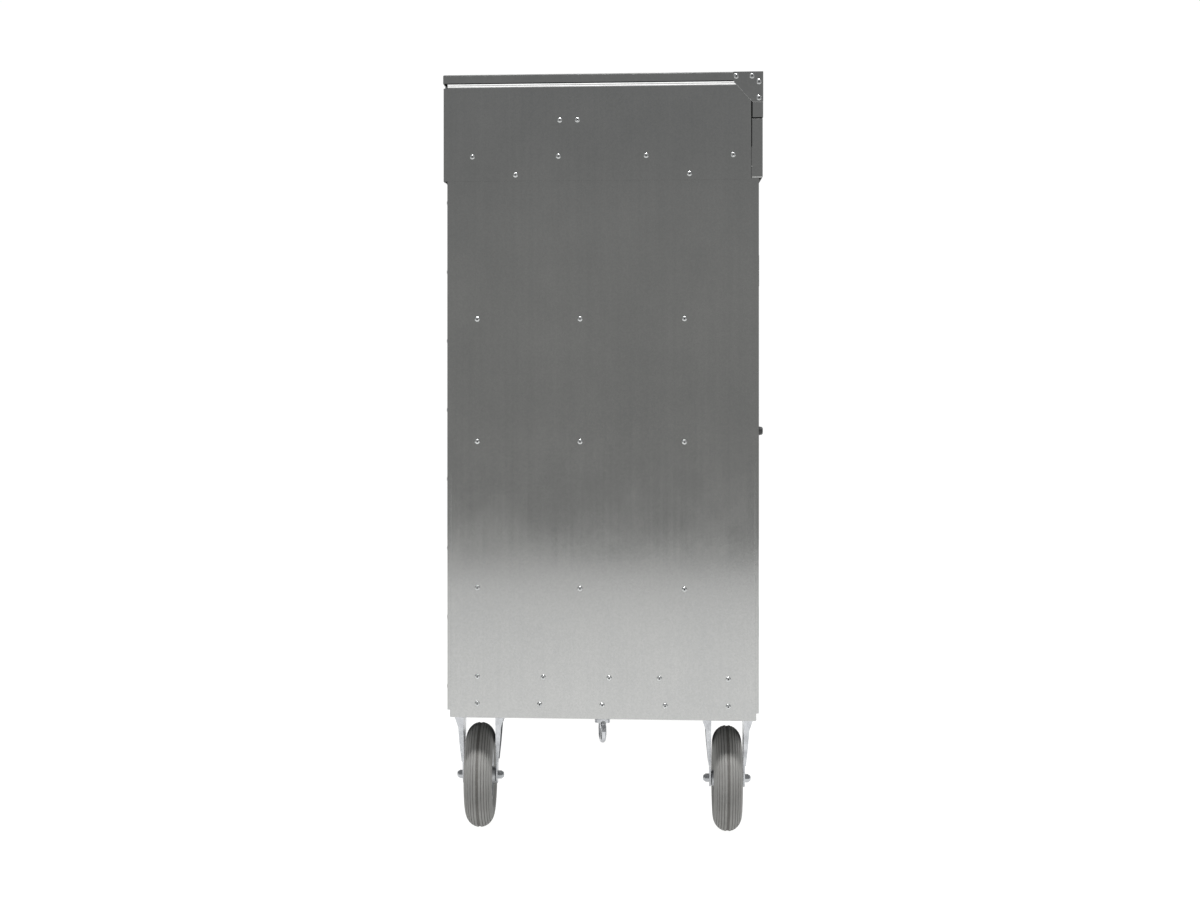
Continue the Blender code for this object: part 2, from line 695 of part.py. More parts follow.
def door_shell(side):
    """Door pan with its hinge barrels welded on."""
    foot, top = DOOR_FOOT, DOOR_TOP
    near = DOOR_GAP / 2
    outer = box((near, DOOR_FACE, foot), (DOOR_SIDE, DOOR_FACE + 2 * DOOR_THICK, top))
    hollow = box(
        (near + SHEET, DOOR_FACE + SHEET, foot + SHEET),
        (DOOR_SIDE - SHEET, DOOR_FACE + 3 * DOOR_THICK, top - SHEET),
    )
    behind = box((-LENGTH, DOOR_FACE + DOOR_THICK, 0.0), (LENGTH, DEPTH, HEIGHT))
    shell = cut(soften(outer), hollow, behind)
    barrels = []
    bores = []
    for middle in HINGE_HEIGHTS:
        spot = (HINGE_X, HINGE_Y, 0.0)
        high = middle + KNUCKLE_HEIGHT / 2
        barrels.append(disc(KNUCKLE_RADIUS, spot, middle + 0.0005, high, "Z", 16))
        barrels.append(
            box(
                (DOOR_SIDE - SHEET * 2 / 3, DOOR_FACE + 0.0012, middle + 0.0005),
                (HINGE_X - 0.0005, DOOR_FACE + 0.0032, high - 0.0005),
            )
        )
        bores.append(disc(HINGE_PIN + RUNNING, spot, middle - 0.01, high - 0.003, "Z", 12))
    whole = cut(joined(shell, *barrels), *bores)
    return mirrored(whole) if side < 0 else whole


def right_door_shell():
    """The door with the handle's dish and the lock rods' guides."""
    floor = DOOR_FACE + DISH_DEPTH
    spot = (HANDLE_X, 0.0, HANDLE_Z)
    cup = disc(DISH_RADIUS + SHEET, spot, DOOR_FACE + SHEET / 2, floor + SHEET, "Y", 40)
    hollow = disc(DISH_RADIUS, spot, DOOR_FACE - 0.01, floor, "Y", 40)
    bore = disc(SPINDLE_RADIUS + RUNNING, spot, floor - 0.01, floor + 0.01, "Y", 24)
    guides = []
    slots = []
    for height in (DOOR_FOOT + 0.060, HANDLE_Z - 0.200, HANDLE_Z + 0.200, DOOR_TOP - 0.060):
        half = ROD_WIDTH / 2
        guides.append(
            box(
                (HANDLE_X - half - 0.006, DOOR_FACE + SHEET / 2, height - 0.005),
                (HANDLE_X + half + 0.006, ROD_Y + ROD_THICK / 2 + 0.002, height + 0.005),
            )
        )
        slots.append(
            box(
                (HANDLE_X - half - FIT, ROD_Y - ROD_THICK / 2 - FIT, height - 0.02),
                (HANDLE_X + half + FIT, ROD_Y + ROD_THICK / 2 + FIT, height + 0.02),
            )
        )
    whole = joined(door_shell(1), cup, *guides)
    return cut(whole, hollow, bore, *slots)


def turn_handle():
    """Lever in the dish, with its spindle through the door."""
    floor = DOOR_FACE + DISH_DEPTH
    spot = (HANDLE_X, 0.0, HANDLE_Z)
    grip = box(
        (HANDLE_X - GRIP_HALF, floor - GRIP_FACE, HANDLE_Z - GRIP_HIGH / 2),
        (HANDLE_X + GRIP_HALF, floor - GRIP_BACK, HANDLE_Z + GRIP_HIGH / 2),
    )
    bmesh.ops.bevel(grip, geom=grip.edges[:], offset=0.004, segments=2, affect="EDGES", profile=0.5)
    hub = disc(HUB_RADIUS, spot, floor - 0.012, floor - FIT, "Y", 28)
    spindle = disc(SPINDLE_RADIUS, spot, floor - 0.006, ROD_Y + ROD_THICK / 2 + 0.001, "Y", 24)
    return joined(grip, hub, spindle)


def cam_slot(start_angle, steps=10):
    """Cutters for a spiral slot: equal turns of the cam move the pin out by equal steps."""
    near, far = [], []
    room = ROD_PIN + 0.0006
    slope = LOCK_TRAVEL / (math.pi / 2)
    for k in range(steps + 1):
        share = k / steps
        angle = start_angle + share * math.pi / 2
        radius = CAM_INNER + LOCK_TRAVEL * share
        half = room * math.hypot(1.0, slope / radius)
        near.append((angle, radius - half))
        far.append((angle, radius + half))
    outline = [(HANDLE_X + r * math.cos(a), HANDLE_Z + r * math.sin(a)) for a, r in near + far[::-1]]
    start, end = cam_front() - 0.01, cam_front() + CAM_THICK + 0.01
    cutters = [prism(outline, "Y", start, end)]
    for angle, radius in (
        (start_angle, CAM_INNER),
        (start_angle + math.pi / 2, CAM_INNER + LOCK_TRAVEL),
    ):
        spot = (HANDLE_X + radius * math.cos(angle), 0.0, HANDLE_Z + radius * math.sin(angle))
        cutters.append(disc(room, spot, start - 0.001, end + 0.001, "Y", 20))
    return cutters


def cam_front():
    return ROD_Y - ROD_THICK / 2 - CAM_THICK - 0.0006


def scroll_cam():
    """Disc on the spindle, with a spiral slot for each lock rod's pin."""
    spot = (HANDLE_X, 0.0, HANDLE_Z)
    plate = disc(CAM_RADIUS, spot, cam_front(), cam_front() + CAM_THICK, "Y", 40)
    bore = disc(SPINDLE_RADIUS + FIT, spot, cam_front() - 0.01, cam_front() + 0.02, "Y", 24)
    return cut(plate, bore, *cam_slot(math.pi / 2), *cam_slot(-math.pi / 2))


def lock_rod(way):
    """Flat bar from the cam to the door's edge, with a pin in the cam's slot."""
    half = ROD_WIDTH / 2
    near = HANDLE_Z + way * (CAM_INNER - 0.0055)
    far = (DOOR_TOP - 0.004) if way > 0 else (DOOR_FOOT + 0.004)
    low, high = sorted((near, far))
    deep = ROD_THICK / 2
    bar = box((HANDLE_X - half, ROD_Y - deep, low), (HANDLE_X + half, ROD_Y + deep, high))
    bmesh.ops.bevel(bar, geom=bar.edges[:], offset=0.0008, segments=1, affect="EDGES")
    spot = (HANDLE_X, 0.0, HANDLE_Z + way * CAM_INNER)
    pin = disc(ROD_PIN, spot, cam_front() + 0.0004, ROD_Y, "Y", 14)
    return joined(bar, pin)


# --- Castors ----------------------------------------------------------------------------
def loft(sections):
    """A solid through rings of corners that lie one above the other."""
    bm = bmesh.new()
    rings = [[bm.verts.new(point) for point in section] for section in sections]
    bm.faces.new(rings[0])
    bm.faces.new(rings[-1])
    count = len(rings[0])
    for lower, upper in zip(rings, rings[1:]):
        for k in range(count):
            after = (k + 1) % count
            bm.faces.new([lower[k], lower[after], upper[after], upper[k]])
    bmesh.ops.recalc_face_normals(bm, faces=bm.faces)
    return bm


def leg_levels(top):
    """(height, half width, reach of the edge flange) of a fixed fork's leg, from the top down."""
    fall = top - AXLE_Z
    outer = LEG_INNER + FORK_SHEET
    return [
        (top, 0.046, PLATE_Y / 2 - 0.002),
        (top - 0.23 * fall, 0.042, outer + 0.0095),
        (top - 0.50 * fall, 0.035, outer + 0.0065),
        (top - 0.78 * fall, 0.027, outer + 0.0020),
    ]


def fork_leg(top, way):
    """Pressed leg on one side of the wheel, its edges turned outwards. The castor's own frame."""
    levels = leg_levels(top)
    right = [(half, height) for height, half, _ in levels]
    foot = [
        (LEG_FOOT * math.cos(a), AXLE_Z + LEG_FOOT * math.sin(a))
        for a in (math.radians(d) for d in range(0, -181, -30))
    ]
    left = [(-half, height) for height, half, _ in levels[::-1]]
    inner, outer = LEG_INNER, LEG_INNER + FORK_SHEET
    plate = prism(right + foot + left, "Y", way * inner, way * outer)
    parts = [plate]
    for edge in (-1, 1):
        sections = []
        for height, half, reach in levels:
            x0, x1 = edge * half, edge * (half - FORK_SHEET)
            y0, y1 = way * (inner + FORK_SHEET / 2), way * reach
            sections.append([(x0, y0, height), (x1, y0, height), (x1, y1, height), (x0, y1, height)])
        parts.append(loft(sections))
    return parts


def at_castor(bm, x, y):
    bmesh.ops.translate(bm, verts=bm.verts, vec=(x, y, 0.0))
    return bm


def castor_plate_box(thick):
    top = PAN_Z - FIT
    plate = box((-PLATE_X / 2, -PLATE_Y / 2, top - thick), (PLATE_X / 2, PLATE_Y / 2, top))
    upright = [e for e in plate.edges if abs(e.verts[0].co.z - e.verts[1].co.z) > 1e-6]
    bmesh.ops.bevel(plate, geom=upright, offset=0.008, segments=3, affect="EDGES", profile=0.5)
    return plate


def axle_bore():
    reach = LEG_INNER + FORK_SHEET + 0.02
    return disc(AXLE_RADIUS + RUNNING, (0.0, 0.0, AXLE_Z), -reach, reach, "Y", 20)


def fixed_fork(x, y):
    """Plate and two pressed legs of a fixed castor."""
    thick = FORK_SHEET
    top = PAN_Z - FIT - thick / 2
    legs = fork_leg(top, 1) + fork_leg(top, -1)
    return at_castor(cut(joined(castor_plate_box(thick), *legs), axle_bore()), x, y)


def crown_top():
    return PAN_Z - 0.0225


def swivel_plate(x, y):
    """Top plate with the swivel boss, the king pin and its nut."""
    plate = castor_plate_box(0.005)
    crown_foot = crown_top() - FORK_SHEET - 0.001
    boss = disc(BOSS_RADIUS, (0.0, 0.0, 0.0), crown_top() + FIT, PAN_Z - 0.003, "Z", 32)
    pin = disc(KING_PIN, (0.0, 0.0, 0.0), crown_foot - 0.006, PAN_Z - 0.010, "Z", 20)
    nut = disc(0.013, (0.0, 0.0, 0.0), crown_foot - FIT - 0.009, crown_foot - FIT, "Z", 6)
    return at_castor(joined(plate, boss, pin, nut), x, y)


def swivel_fork(x, y):
    """Crown under the boss, with two legs that trail back to the axle and carry the pedal."""
    top = crown_top()
    foot = top - FORK_SHEET - 0.001
    outer = LEG_INNER + FORK_SHEET
    crown = box((-TRAIL - 0.028, -outer + 0.001, foot), (0.033, outer - 0.001, top))
    outline = [(0.033, top - 0.001), (0.030, foot - 0.020)]
    for degrees in range(20, -181, -25):
        a = math.radians(degrees)
        outline.append((LEG_FOOT * math.cos(a) - TRAIL, AXLE_Z + LEG_FOOT * math.sin(a)))
    outline += [(-TRAIL - 0.052, foot - 0.022), (-pedal_reach() - 0.012, foot - 0.014)]
    outline += [(-pedal_reach() - 0.012, top - 0.001)]
    legs = [prism(outline, "Y", way * LEG_INNER, way * outer) for way in (-1, 1)]
    king_bore = disc(KING_PIN + RUNNING, (0.0, 0.0, 0.0), foot - 0.01, top + 0.01, "Z", 24)
    bore = at_castor(axle_bore(), -TRAIL, 0.0)
    reach = outer + 0.01
    pin_spot = (-pedal_reach(), 0.0, pedal_z())
    pedal_bore = disc(PEDAL_PIN + RUNNING, pin_spot, -reach, reach, "Y", 16)
    return at_castor(cut(joined(crown, *legs), king_bore, bore, pedal_bore), x, y)


def pedal_reach():
    """Swivel axis to the pedal's pin."""
    return TRAIL + 0.050


def pedal_z():
    return crown_top() - 0.010


def brake_pedal(x, y):
    """Pedal on a pin between the legs, with a shoe over the tyre."""
    spot = (-pedal_reach(), 0.0, pedal_z())
    hub_half = LEG_INNER - 0.0006
    hub = disc(0.006, spot, -hub_half, hub_half, "Y", 18)
    pin_half = LEG_INNER + FORK_SHEET
    pin = disc(PEDAL_PIN, spot, -pin_half, pin_half, "Y", 12)
    near, far = -pedal_reach(), -pedal_reach() - PEDAL_LENGTH
    half = PEDAL_WIDTH / 2
    z = pedal_z()
    outline = [
        (near, z + 0.005),
        (near - 0.060, z + 0.003),
        (far, z - 0.012),
        (far, z - 0.018),
        (near - 0.062, z - 0.003),
        (near, z - 0.001),
    ]
    plate = prism(outline, "Y", -half, half)
    return at_castor(joined(hub, pin, plate), x, y)


def rim(x, y):
    """Rim with its hub and web."""
    bore = AXLE_RADIUS + RUNNING
    edge = RIM_DIAMETER / 2
    hub = LEG_INNER - 0.001
    half = [
        (bore, hub),
        (0.021, hub),
        (0.023, 0.006),
        (edge - 0.012, 0.006),
        (edge - 0.008, 0.025),
        (edge, 0.027),
    ]
    profile = half + [(radius, -along) for radius, along in half[::-1]]
    return turned(profile, (x, y, AXLE_Z), "Y", 32)


def tyre(x, y):
    """Balloon tyre: an oval section between the bead and the tread."""
    inner = RIM_DIAMETER / 2 + FIT
    crown = WHEEL_DIAMETER / 2
    widest = inner + 0.022
    half = TYRE_WIDTH / 2
    profile = [(inner, 0.026)]
    for degrees in range(-30, 91, 20):
        a = math.radians(degrees)
        reach = (crown - widest) if degrees > 0 else 0.030
        profile.append((widest + reach * math.sin(a), half * math.cos(a)))
    profile += [(radius, -along) for radius, along in profile[-2::-1]]
    return turned(profile, (x, y, AXLE_Z), "Y", 32)


def axle(x, y):
    """Axle bolt with its hexagon head, nut and rounded caps."""
    leg = LEG_INNER + FORK_SHEET + FIT
    end = LEG_INNER + FORK_SHEET + AXLE_OVER_FORK
    spot = (0.0, 0.0, AXLE_Z)
    bolt = disc(AXLE_RADIUS, spot, -end + 0.006, end - 0.006, "Y", 20)
    spans = [sorted((way * leg, way * (leg + HEX_THICK))) for way in (-1, 1)]
    hexagons = [disc(HEX_RADIUS, spot, *span, "Y", 6) for span in spans]
    caps = []
    for way in (-1, 1):
        root = way * (end - 0.010)
        profile = [(0.0, root), (CAP_RADIUS, root), (CAP_RADIUS, way * (end - 0.004))]
        profile += [(CAP_RADIUS - 0.0025, way * (end - 0.001)), (0.0, way * end)]
        caps.append(turned_open(profile, spot, "Y", 20))
    return at_castor(joined(bolt, *hexagons, *caps), x, y)


def lashing_eye():
    """Eye bolt under the floor: ring, collar and shank."""
    ring_z = PAN_Z - EYE_HEIGHT + EYE_OUTER
    middle = EYE_OUTER - EYE_WIRE
    profile = [
        (middle + EYE_WIRE * math.cos(a), EYE_WIRE * math.sin(a))
        for a in (2 * math.pi * k / 10 for k in range(10))
    ]
    ring = turned(profile, (0.0, 0.0, 0.0), "Y", 24)
    place(ring, Matrix.Rotation(EYE_TURN, 4, "Z"))
    bmesh.ops.translate(ring, verts=ring.verts, vec=(EYE_X, 0.0, ring_z))
    top = PAN_Z - FIT
    above = box((EYE_X - 0.05, -0.05, top - 0.0005), (EYE_X + 0.05, 0.05, top + 0.05))
    spot = (EYE_X, 0.0, 0.0)
    collar = disc(EYE_COLLAR, spot, top - 0.011, top, "Z", 28)
    shank = disc(EYE_SHANK, spot, top - 0.008, PAN_Z + 0.014, "Z", 16)
    return joined(cut(ring, above), collar, shank)


# --- Assembly ---------------------------------------------------------------------------
def build_cabinet():
    node("floor_pan", floor_pan(), "galvanised")
    node("inner_floor", inner_floor(), "galvanised")
    node("back_panel", back_panel(), "galvanised")
    node("door_header", door_header(), "galvanised")
    node("top_tray", top_tray(), "galvanised")
    node("hood_back_panel", hood_back_panel(), "galvanised")
    node("hood_front_panel", hood_front_panel(), "galvanised")
    node("lid_hinge_base", lid_hinge_base(), "zinc_plate")
    node("lashing_eye", lashing_eye(), "zinc_plate")
    for side, name in ((-1, "left"), (1, "right")):
        node(f"{name}_end_panel", end_panel(side), "galvanised")
        node(f"{name}_hood_cheek", hood_cheek(side), "galvanised")
        node(f"{name}_prop_bracket", prop_bracket(side), "zinc_plate")
        for level, middle in zip(("low", "middle", "high"), SHELF_HEIGHTS):
            node(f"{name}_shelf_rail_{level}", shelf_rail(side, middle), "galvanised")
        for level, middle in zip(("low", "high"), HINGE_HEIGHTS):
            node(f"{name}_hinge_pin_{level}", hinge_pin_half(side, middle), "zinc_plate")
    for level, middle in zip(("low", "middle", "high"), SHELF_HEIGHTS):
        node(f"shelf_{level}", shelf(middle), "galvanised")


def build_lid():
    hinge = pivot("lid_hinge_axis", (0.0, LID_HINGE_Y, LID_HINGE_Z))
    node("lid_panel", lid_panel(), "galvanised", hinge)
    node("lid_hinge_leaf", lid_hinge_leaf(), "zinc_plate", hinge)
    for side, name in ((-1, "left"), (1, "right")):
        node(f"{name}_lid_gusset", lid_gusset(side), "galvanised", hinge)
        prop = pivot(f"{name}_prop_axis", (side * prop_x(), PROP_Y, prop_z()))
        node(f"{name}_prop_rod", prop_rod(side), "zinc_plate", prop)


def build_doors():
    left = pivot("left_door_axis", (-HINGE_X, HINGE_Y, DOOR_FOOT))
    node("left_door", door_shell(-1), "galvanised", left)
    right = pivot("right_door_axis", (HINGE_X, HINGE_Y, DOOR_FOOT))
    node("right_door", right_door_shell(), "galvanised", right)
    spindle = pivot("handle_axis", (HANDLE_X, DOOR_FACE + DISH_DEPTH, HANDLE_Z), right)
    node("turn_handle", turn_handle(), "handle_black", spindle)
    node("scroll_cam", scroll_cam(), "zinc_plate", spindle)
    node("upper_lock_rod", lock_rod(1), "zinc_plate", right)
    node("lower_lock_rod", lock_rod(-1), "zinc_plate", right)


def build_wheel(name, x, y, parent=None):
    """Rim, tyre and axle bolt turn together about the axle."""
    spin = pivot(f"{name}_axle_axis", (x, y, AXLE_Z), parent)
    node(f"{name}_rim", rim(x, y), "rim", spin)
    node(f"{name}_tyre", tyre(x, y), "grey_tyre", spin)
    node(f"{name}_axle", axle(x, y), "zinc_plate", parent)


def build_castors():
    for y, place_name in ((-WHEEL_Y, "front"), (WHEEL_Y, "back")):
        fixed = f"fixed_{place_name}"
        node(f"{fixed}_fork", fixed_fork(-WHEEL_X, y), "zinc_plate")
        build_wheel(fixed, -WHEEL_X, y)
        swivel = f"swivel_{place_name}"
        node(f"{swivel}_plate", swivel_plate(WHEEL_X, y), "zinc_plate")
        turn = pivot(f"{swivel}_axis", (WHEEL_X, y, crown_top()))
        node(f"{swivel}_fork", swivel_fork(WHEEL_X, y), "zinc_plate", turn)
        build_wheel(swivel, WHEEL_X - TRAIL, y, turn)
        tread = pivot(f"{swivel}_pedal_axis", (WHEEL_X - pedal_reach(), y, pedal_z()), turn)
        node(f"{swivel}_pedal", brake_pedal(WHEEL_X, y), "pedal_red", tread)


clear_scene()
build_cabinet()
build_lid()
build_doors()
build_castors()
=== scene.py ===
# %% [markdown]
# # A rolling tool chest in galvanised sheet
# The chest is a tall cabinet of folded, zinc-coated steel on four castors, with a lidded
# compartment on top. Its working parts are already designed and come in as fixed solids.
# This lesson gives them their finishes and adds the small made pieces that sell the metal:
# rivets, ribbed tyres, bolts, the handle's ring and the lid's rib.
#
# We load the solids first. Everything else is placed from their boxes, so nothing is typed
# in twice: if the design moves, the trim moves with it.

# %% Load the chest's solids
import math

import bmesh
import bpy
from mathutils import Matrix, Vector


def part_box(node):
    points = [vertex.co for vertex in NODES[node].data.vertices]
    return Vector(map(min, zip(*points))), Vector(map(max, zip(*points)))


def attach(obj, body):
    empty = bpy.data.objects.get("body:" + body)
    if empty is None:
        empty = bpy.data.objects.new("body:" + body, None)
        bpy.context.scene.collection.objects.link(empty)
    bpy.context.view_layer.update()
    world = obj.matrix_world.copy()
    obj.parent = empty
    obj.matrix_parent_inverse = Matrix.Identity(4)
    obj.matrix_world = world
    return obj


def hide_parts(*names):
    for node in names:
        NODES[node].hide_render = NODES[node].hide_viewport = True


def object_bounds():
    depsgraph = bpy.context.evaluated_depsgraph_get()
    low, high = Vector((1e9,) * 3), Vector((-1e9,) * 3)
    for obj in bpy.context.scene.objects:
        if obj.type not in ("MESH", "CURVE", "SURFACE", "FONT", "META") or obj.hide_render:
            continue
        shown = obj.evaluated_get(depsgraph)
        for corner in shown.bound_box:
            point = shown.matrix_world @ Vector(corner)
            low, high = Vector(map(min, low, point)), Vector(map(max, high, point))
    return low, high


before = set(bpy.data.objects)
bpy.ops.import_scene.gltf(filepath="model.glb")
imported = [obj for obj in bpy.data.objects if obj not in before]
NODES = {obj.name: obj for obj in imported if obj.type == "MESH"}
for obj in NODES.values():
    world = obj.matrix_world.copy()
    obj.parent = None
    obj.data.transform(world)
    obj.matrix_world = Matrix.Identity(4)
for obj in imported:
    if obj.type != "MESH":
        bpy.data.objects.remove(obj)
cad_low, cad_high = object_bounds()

ENDS = (("left", -1), ("right", 1))
size = cad_high - cad_low
print(f"{len(NODES)} solids, {size.x:.3f} long, {size.y:.3f} deep, {size.z:.3f} high")

# %% [markdown]
# ## Small tools for node trees
# A finish in Blender is a tree of nodes that ends in a Principled BSDF. Making the nodes by
# hand takes many lines, so we keep a few helpers. They start a material, add a node, wire two
# sockets, and make the patterns and bumps that come back in every finish. The patterns read
# Object coordinates. Every solid here sits at the world's origin, so one metre of pattern is
# one metre of steel, whatever piece it is on.

# %% Helpers for materials
def start_finish(name, colour, roughness, metallic):
    """A new material, its tree and its shader. Plain numbers go straight on the shader."""
    made = bpy.data.materials.new(name)
    made.use_nodes = True
    tree = made.node_tree
    shader = tree.nodes["Principled BSDF"]
    shader.inputs["Base Color"].default_value = (*colour, 1.0)
    shader.inputs["Roughness"].default_value = roughness
    shader.inputs["Metallic"].default_value = metallic
    return made, tree, shader


def add(tree, kind, inputs=None, **settings):
    node = tree.nodes.new("ShaderNode" + kind)
    for key, value in settings.items():
        setattr(node, key, value)
    for key, value in (inputs or {}).items():
        node.inputs[key].default_value = value
    return node


def wire(tree, start, end):
    tree.links.new(start, end)


def stretched_place(tree, scale=(1.0, 1.0, 1.0)):
    """Object coordinates, in metres, drawn out along any axis."""
    place = add(tree, "TexCoord")
    mapping = add(tree, "Mapping", {"Scale": scale})
    wire(tree, place.outputs["Object"], mapping.inputs["Vector"])
    return mapping.outputs["Vector"]


def noise(tree, place, scale, detail=3.0, roughness=0.5):
    node = add(tree, "TexNoise", {"Scale": scale, "Detail": detail, "Roughness": roughness})
    wire(tree, place, node.inputs["Vector"])
    return node.outputs["Fac"]


def spread(tree, value, low, high, from_low=0.3, from_high=0.7):
    """Carries a 0 to 1 pattern over to a range that we choose."""
    node = add(tree, "MapRange")
    for key, number in (
        ("From Min", from_low), ("From Max", from_high), ("To Min", low), ("To Max", high)
    ):
        node.inputs[key].default_value = number
    wire(tree, value, node.inputs["Value"])
    return node.outputs["Result"]


def arithmetic(tree, operation, first, second=None, clamp=False):
    """A Math node on two values, each a socket or a number."""
    node = add(tree, "Math", operation=operation, use_clamp=clamp)
    for slot_number, value in enumerate((first, second)):
        if value is None:
            continue
        if isinstance(value, (int, float)):
            node.inputs[slot_number].default_value = value
        else:
            wire(tree, value, node.inputs[slot_number])
    return node.outputs["Value"]


MIX_FACTOR, MIX_A, MIX_B, MIX_RESULT = 0, 6, 7, 2   # a Mix node's sockets for colours


def two_tones(tree, factor, first, second):
    """A colour between two. Each is three numbers or another colour socket."""
    node = add(tree, "Mix", data_type="RGBA")
    wire(tree, factor, node.inputs[MIX_FACTOR])
    for place, value in ((MIX_A, first), (MIX_B, second)):
        if isinstance(value, tuple):
            node.inputs[place].default_value = (*value, 1.0)
        else:
            wire(tree, value, node.inputs[place])
    return node.outputs[MIX_RESULT]


def bumped(tree, shader, height, distance, strength=1.0, under=None):
    """Relief from a pattern. The distance is the real height in metres."""
    node = add(tree, "Bump", {"Strength": strength, "Distance": distance})
    wire(tree, height, node.inputs["Height"])
    if under is not None:
        wire(tree, under, node.inputs["Normal"])
    wire(tree, node.outputs["Normal"], shader.inputs["Normal"])
    return node.outputs["Normal"]

# %% [markdown]
# ## Galvanised sheet
# Hot-dipped sheet is steel under a skin of zinc. From the mill it is rolled once more, so
# the big crystals are pressed almost flat: what is left is a fine grey mottling, a satin
# gloss and a slow waviness from rolling and folding.
#
# A metal has no colour of its own besides its reflections, so the finish is a Principled
# BSDF at full metallic, and all the detail goes into three things. The base tone is mottled
# by a Voronoi pattern of small crystals, the roughness wanders a little, and two bumps
# bend the reflections: a wide, very low wave and a fine tooth.

# %% Finish: galvanised
def galvanised_finish(name, grain_axis_scale, seam_at=None):
    """Zinc-coated sheet. The grain is drawn out along one axis by its scale."""
    made, tree, shader = start_finish(name, (0.395, 0.398, 0.393), 0.11, 1.0)
    place = stretched_place(tree)
    drawn = stretched_place(tree, grain_axis_scale)
    crystals = add(tree, "TexVoronoi", {"Scale": 260.0, "Randomness": 1.0})
    wire(tree, place, crystals.inputs["Vector"])
    tone = add(tree, "SeparateColor")
    wire(tree, crystals.outputs["Color"], tone.inputs["Color"])
    cloud = noise(tree, place, 5.0, 4.0, 0.6)
    streak = noise(tree, drawn, 90.0, 4.0, 0.6)
    mottled = arithmetic(tree, "MULTIPLY", tone.outputs["Red"], 0.35)
    both = arithmetic(tree, "ADD", mottled, spread(tree, cloud, 0.0, 0.45))
    whole = arithmetic(tree, "ADD", both, spread(tree, streak, 0.0, 0.2), clamp=True)
    colour = two_tones(tree, whole, (0.355, 0.36, 0.356), (0.43, 0.432, 0.424))
    wire(tree, colour, shader.inputs["Base Color"])
    matt = arithmetic(
        tree, "ADD", spread(tree, cloud, 0.095, 0.135), spread(tree, streak, -0.006, 0.010)
    )
    wire(tree, matt, shader.inputs["Roughness"])
    wave = bumped(tree, shader, noise(tree, place, 1.7, 1.0), 0.0011)
    tooth = arithmetic(tree, "ADD", noise(tree, place, 700.0, 2.0), tone.outputs["Green"])
    if seam_at is None:
        bumped(tree, shader, tooth, 0.000003, 1.0, wave)
        return made
    fine = bumped(tree, shader, tooth, 0.000003, 1.0, wave)
    axes = add(tree, "SeparateXYZ")
    wire(tree, place, axes.inputs["Vector"])
    from_middle = arithmetic(tree, "ABSOLUTE", axes.outputs["Y"])
    off_seam = arithmetic(tree, "ABSOLUTE", arithmetic(tree, "SUBTRACT", from_middle, seam_at))
    bumped(tree, shader, spread(tree, off_seam, 1.0, 0.0, 0.0, 0.0014), 0.00012, 1.0, fine)
    return made


SEAM_INSET = 0.009        # the brake's mark runs this far in from a folded edge
UPRIGHT_GRAIN = (1.0, 1.0, 0.02)
LYING_GRAIN = (0.02, 1.0, 1.0)
end_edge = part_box("left_end_panel")[1].y
galvanised = galvanised_finish("galvanised_sheet", LYING_GRAIN)
galvanised_upright = galvanised_finish("galvanised_sheet_upright", UPRIGHT_GRAIN)
galvanised_end = galvanised_finish("galvanised_end_wall", UPRIGHT_GRAIN, end_edge - SEAM_INSET)
print("three sheets, differing in which way the mill rolled them")

# %% [markdown]
# ## Bright zinc plate
# Pressed parts such as the forks, plates, bolts and rods are plated after they are made.
# Plate is bluer and brighter than hot-dip, with no crystals: a cloudy noise in the roughness
# and very fine scratches are enough. The wheel rims get the same recipe, duller.

# %% Finish: zinc plate
def plated_finish(name, dark, light, matt, scratch_height):
    made, tree, shader = start_finish(name, light, matt, 1.0)
    place = stretched_place(tree)
    cloud = noise(tree, place, 38.0, 5.0, 0.62)
    wire(tree, two_tones(tree, spread(tree, cloud, 0.0, 1.0), dark, light), shader.inputs["Base Color"])
    wire(tree, spread(tree, cloud, matt + 0.09, matt - 0.05), shader.inputs["Roughness"])
    hair = noise(tree, stretched_place(tree, (1.0, 1.0, 0.06)), 1400.0, 2.0)
    bumped(tree, shader, hair, scratch_height)
    return made


zinc_plate = plated_finish("zinc_plate", (0.36, 0.37, 0.385), (0.52, 0.53, 0.545), 0.24, 0.00001)
rim_steel = plated_finish("rim_steel", (0.40, 0.41, 0.42), (0.55, 0.56, 0.57), 0.38, 0.00002)
rivet_steel = plated_finish("rivet_steel", (0.40, 0.41, 0.41), (0.56, 0.57, 0.57), 0.30, 0.00001)
# Near black for the broken nail and the hole's wall: painted shade in the rivet's hole.
nail_painted_shade_steel = plated_finish("nail_painted_shade_steel", (0.03, 0.03, 0.03), (0.06, 0.06, 0.06), 0.50, 0.00001)
print("plate, rim, rivet and nail steels")

# %% [markdown]
# Grey rubber doesn't mark a floor. It is matt, faintly speckled with dust, and darker in its
# grooves, from dirt and painted shade. Black moulded nylon shows a leather-like grain from its
# mould, and the brake pedal is the same nylon in red, so that a foot finds it.

# %% Finishes: rubber and nylon
def rubber_finish(name, clean, dusty):
    made, tree, shader = start_finish(name, clean, 0.72, 0.0)
    place = stretched_place(tree)
    cloud = noise(tree, place, 22.0, 6.0, 0.7)
    dust = noise(tree, place, 420.0, 3.0, 0.6)
    colour = two_tones(tree, spread(tree, cloud, 0.0, 0.8), clean, dusty)
    speckled = two_tones(tree, spread(tree, dust, 0.0, 0.22, 0.5, 0.75), colour, (0.36, 0.35, 0.33))
    wire(tree, speckled, shader.inputs["Base Color"])
    wire(tree, spread(tree, cloud, 0.66, 0.82), shader.inputs["Roughness"])
    shader.inputs["Specular IOR Level"].default_value = 0.35
    bumped(tree, shader, arithmetic(tree, "ADD", dust, cloud), 0.00012)
    return made


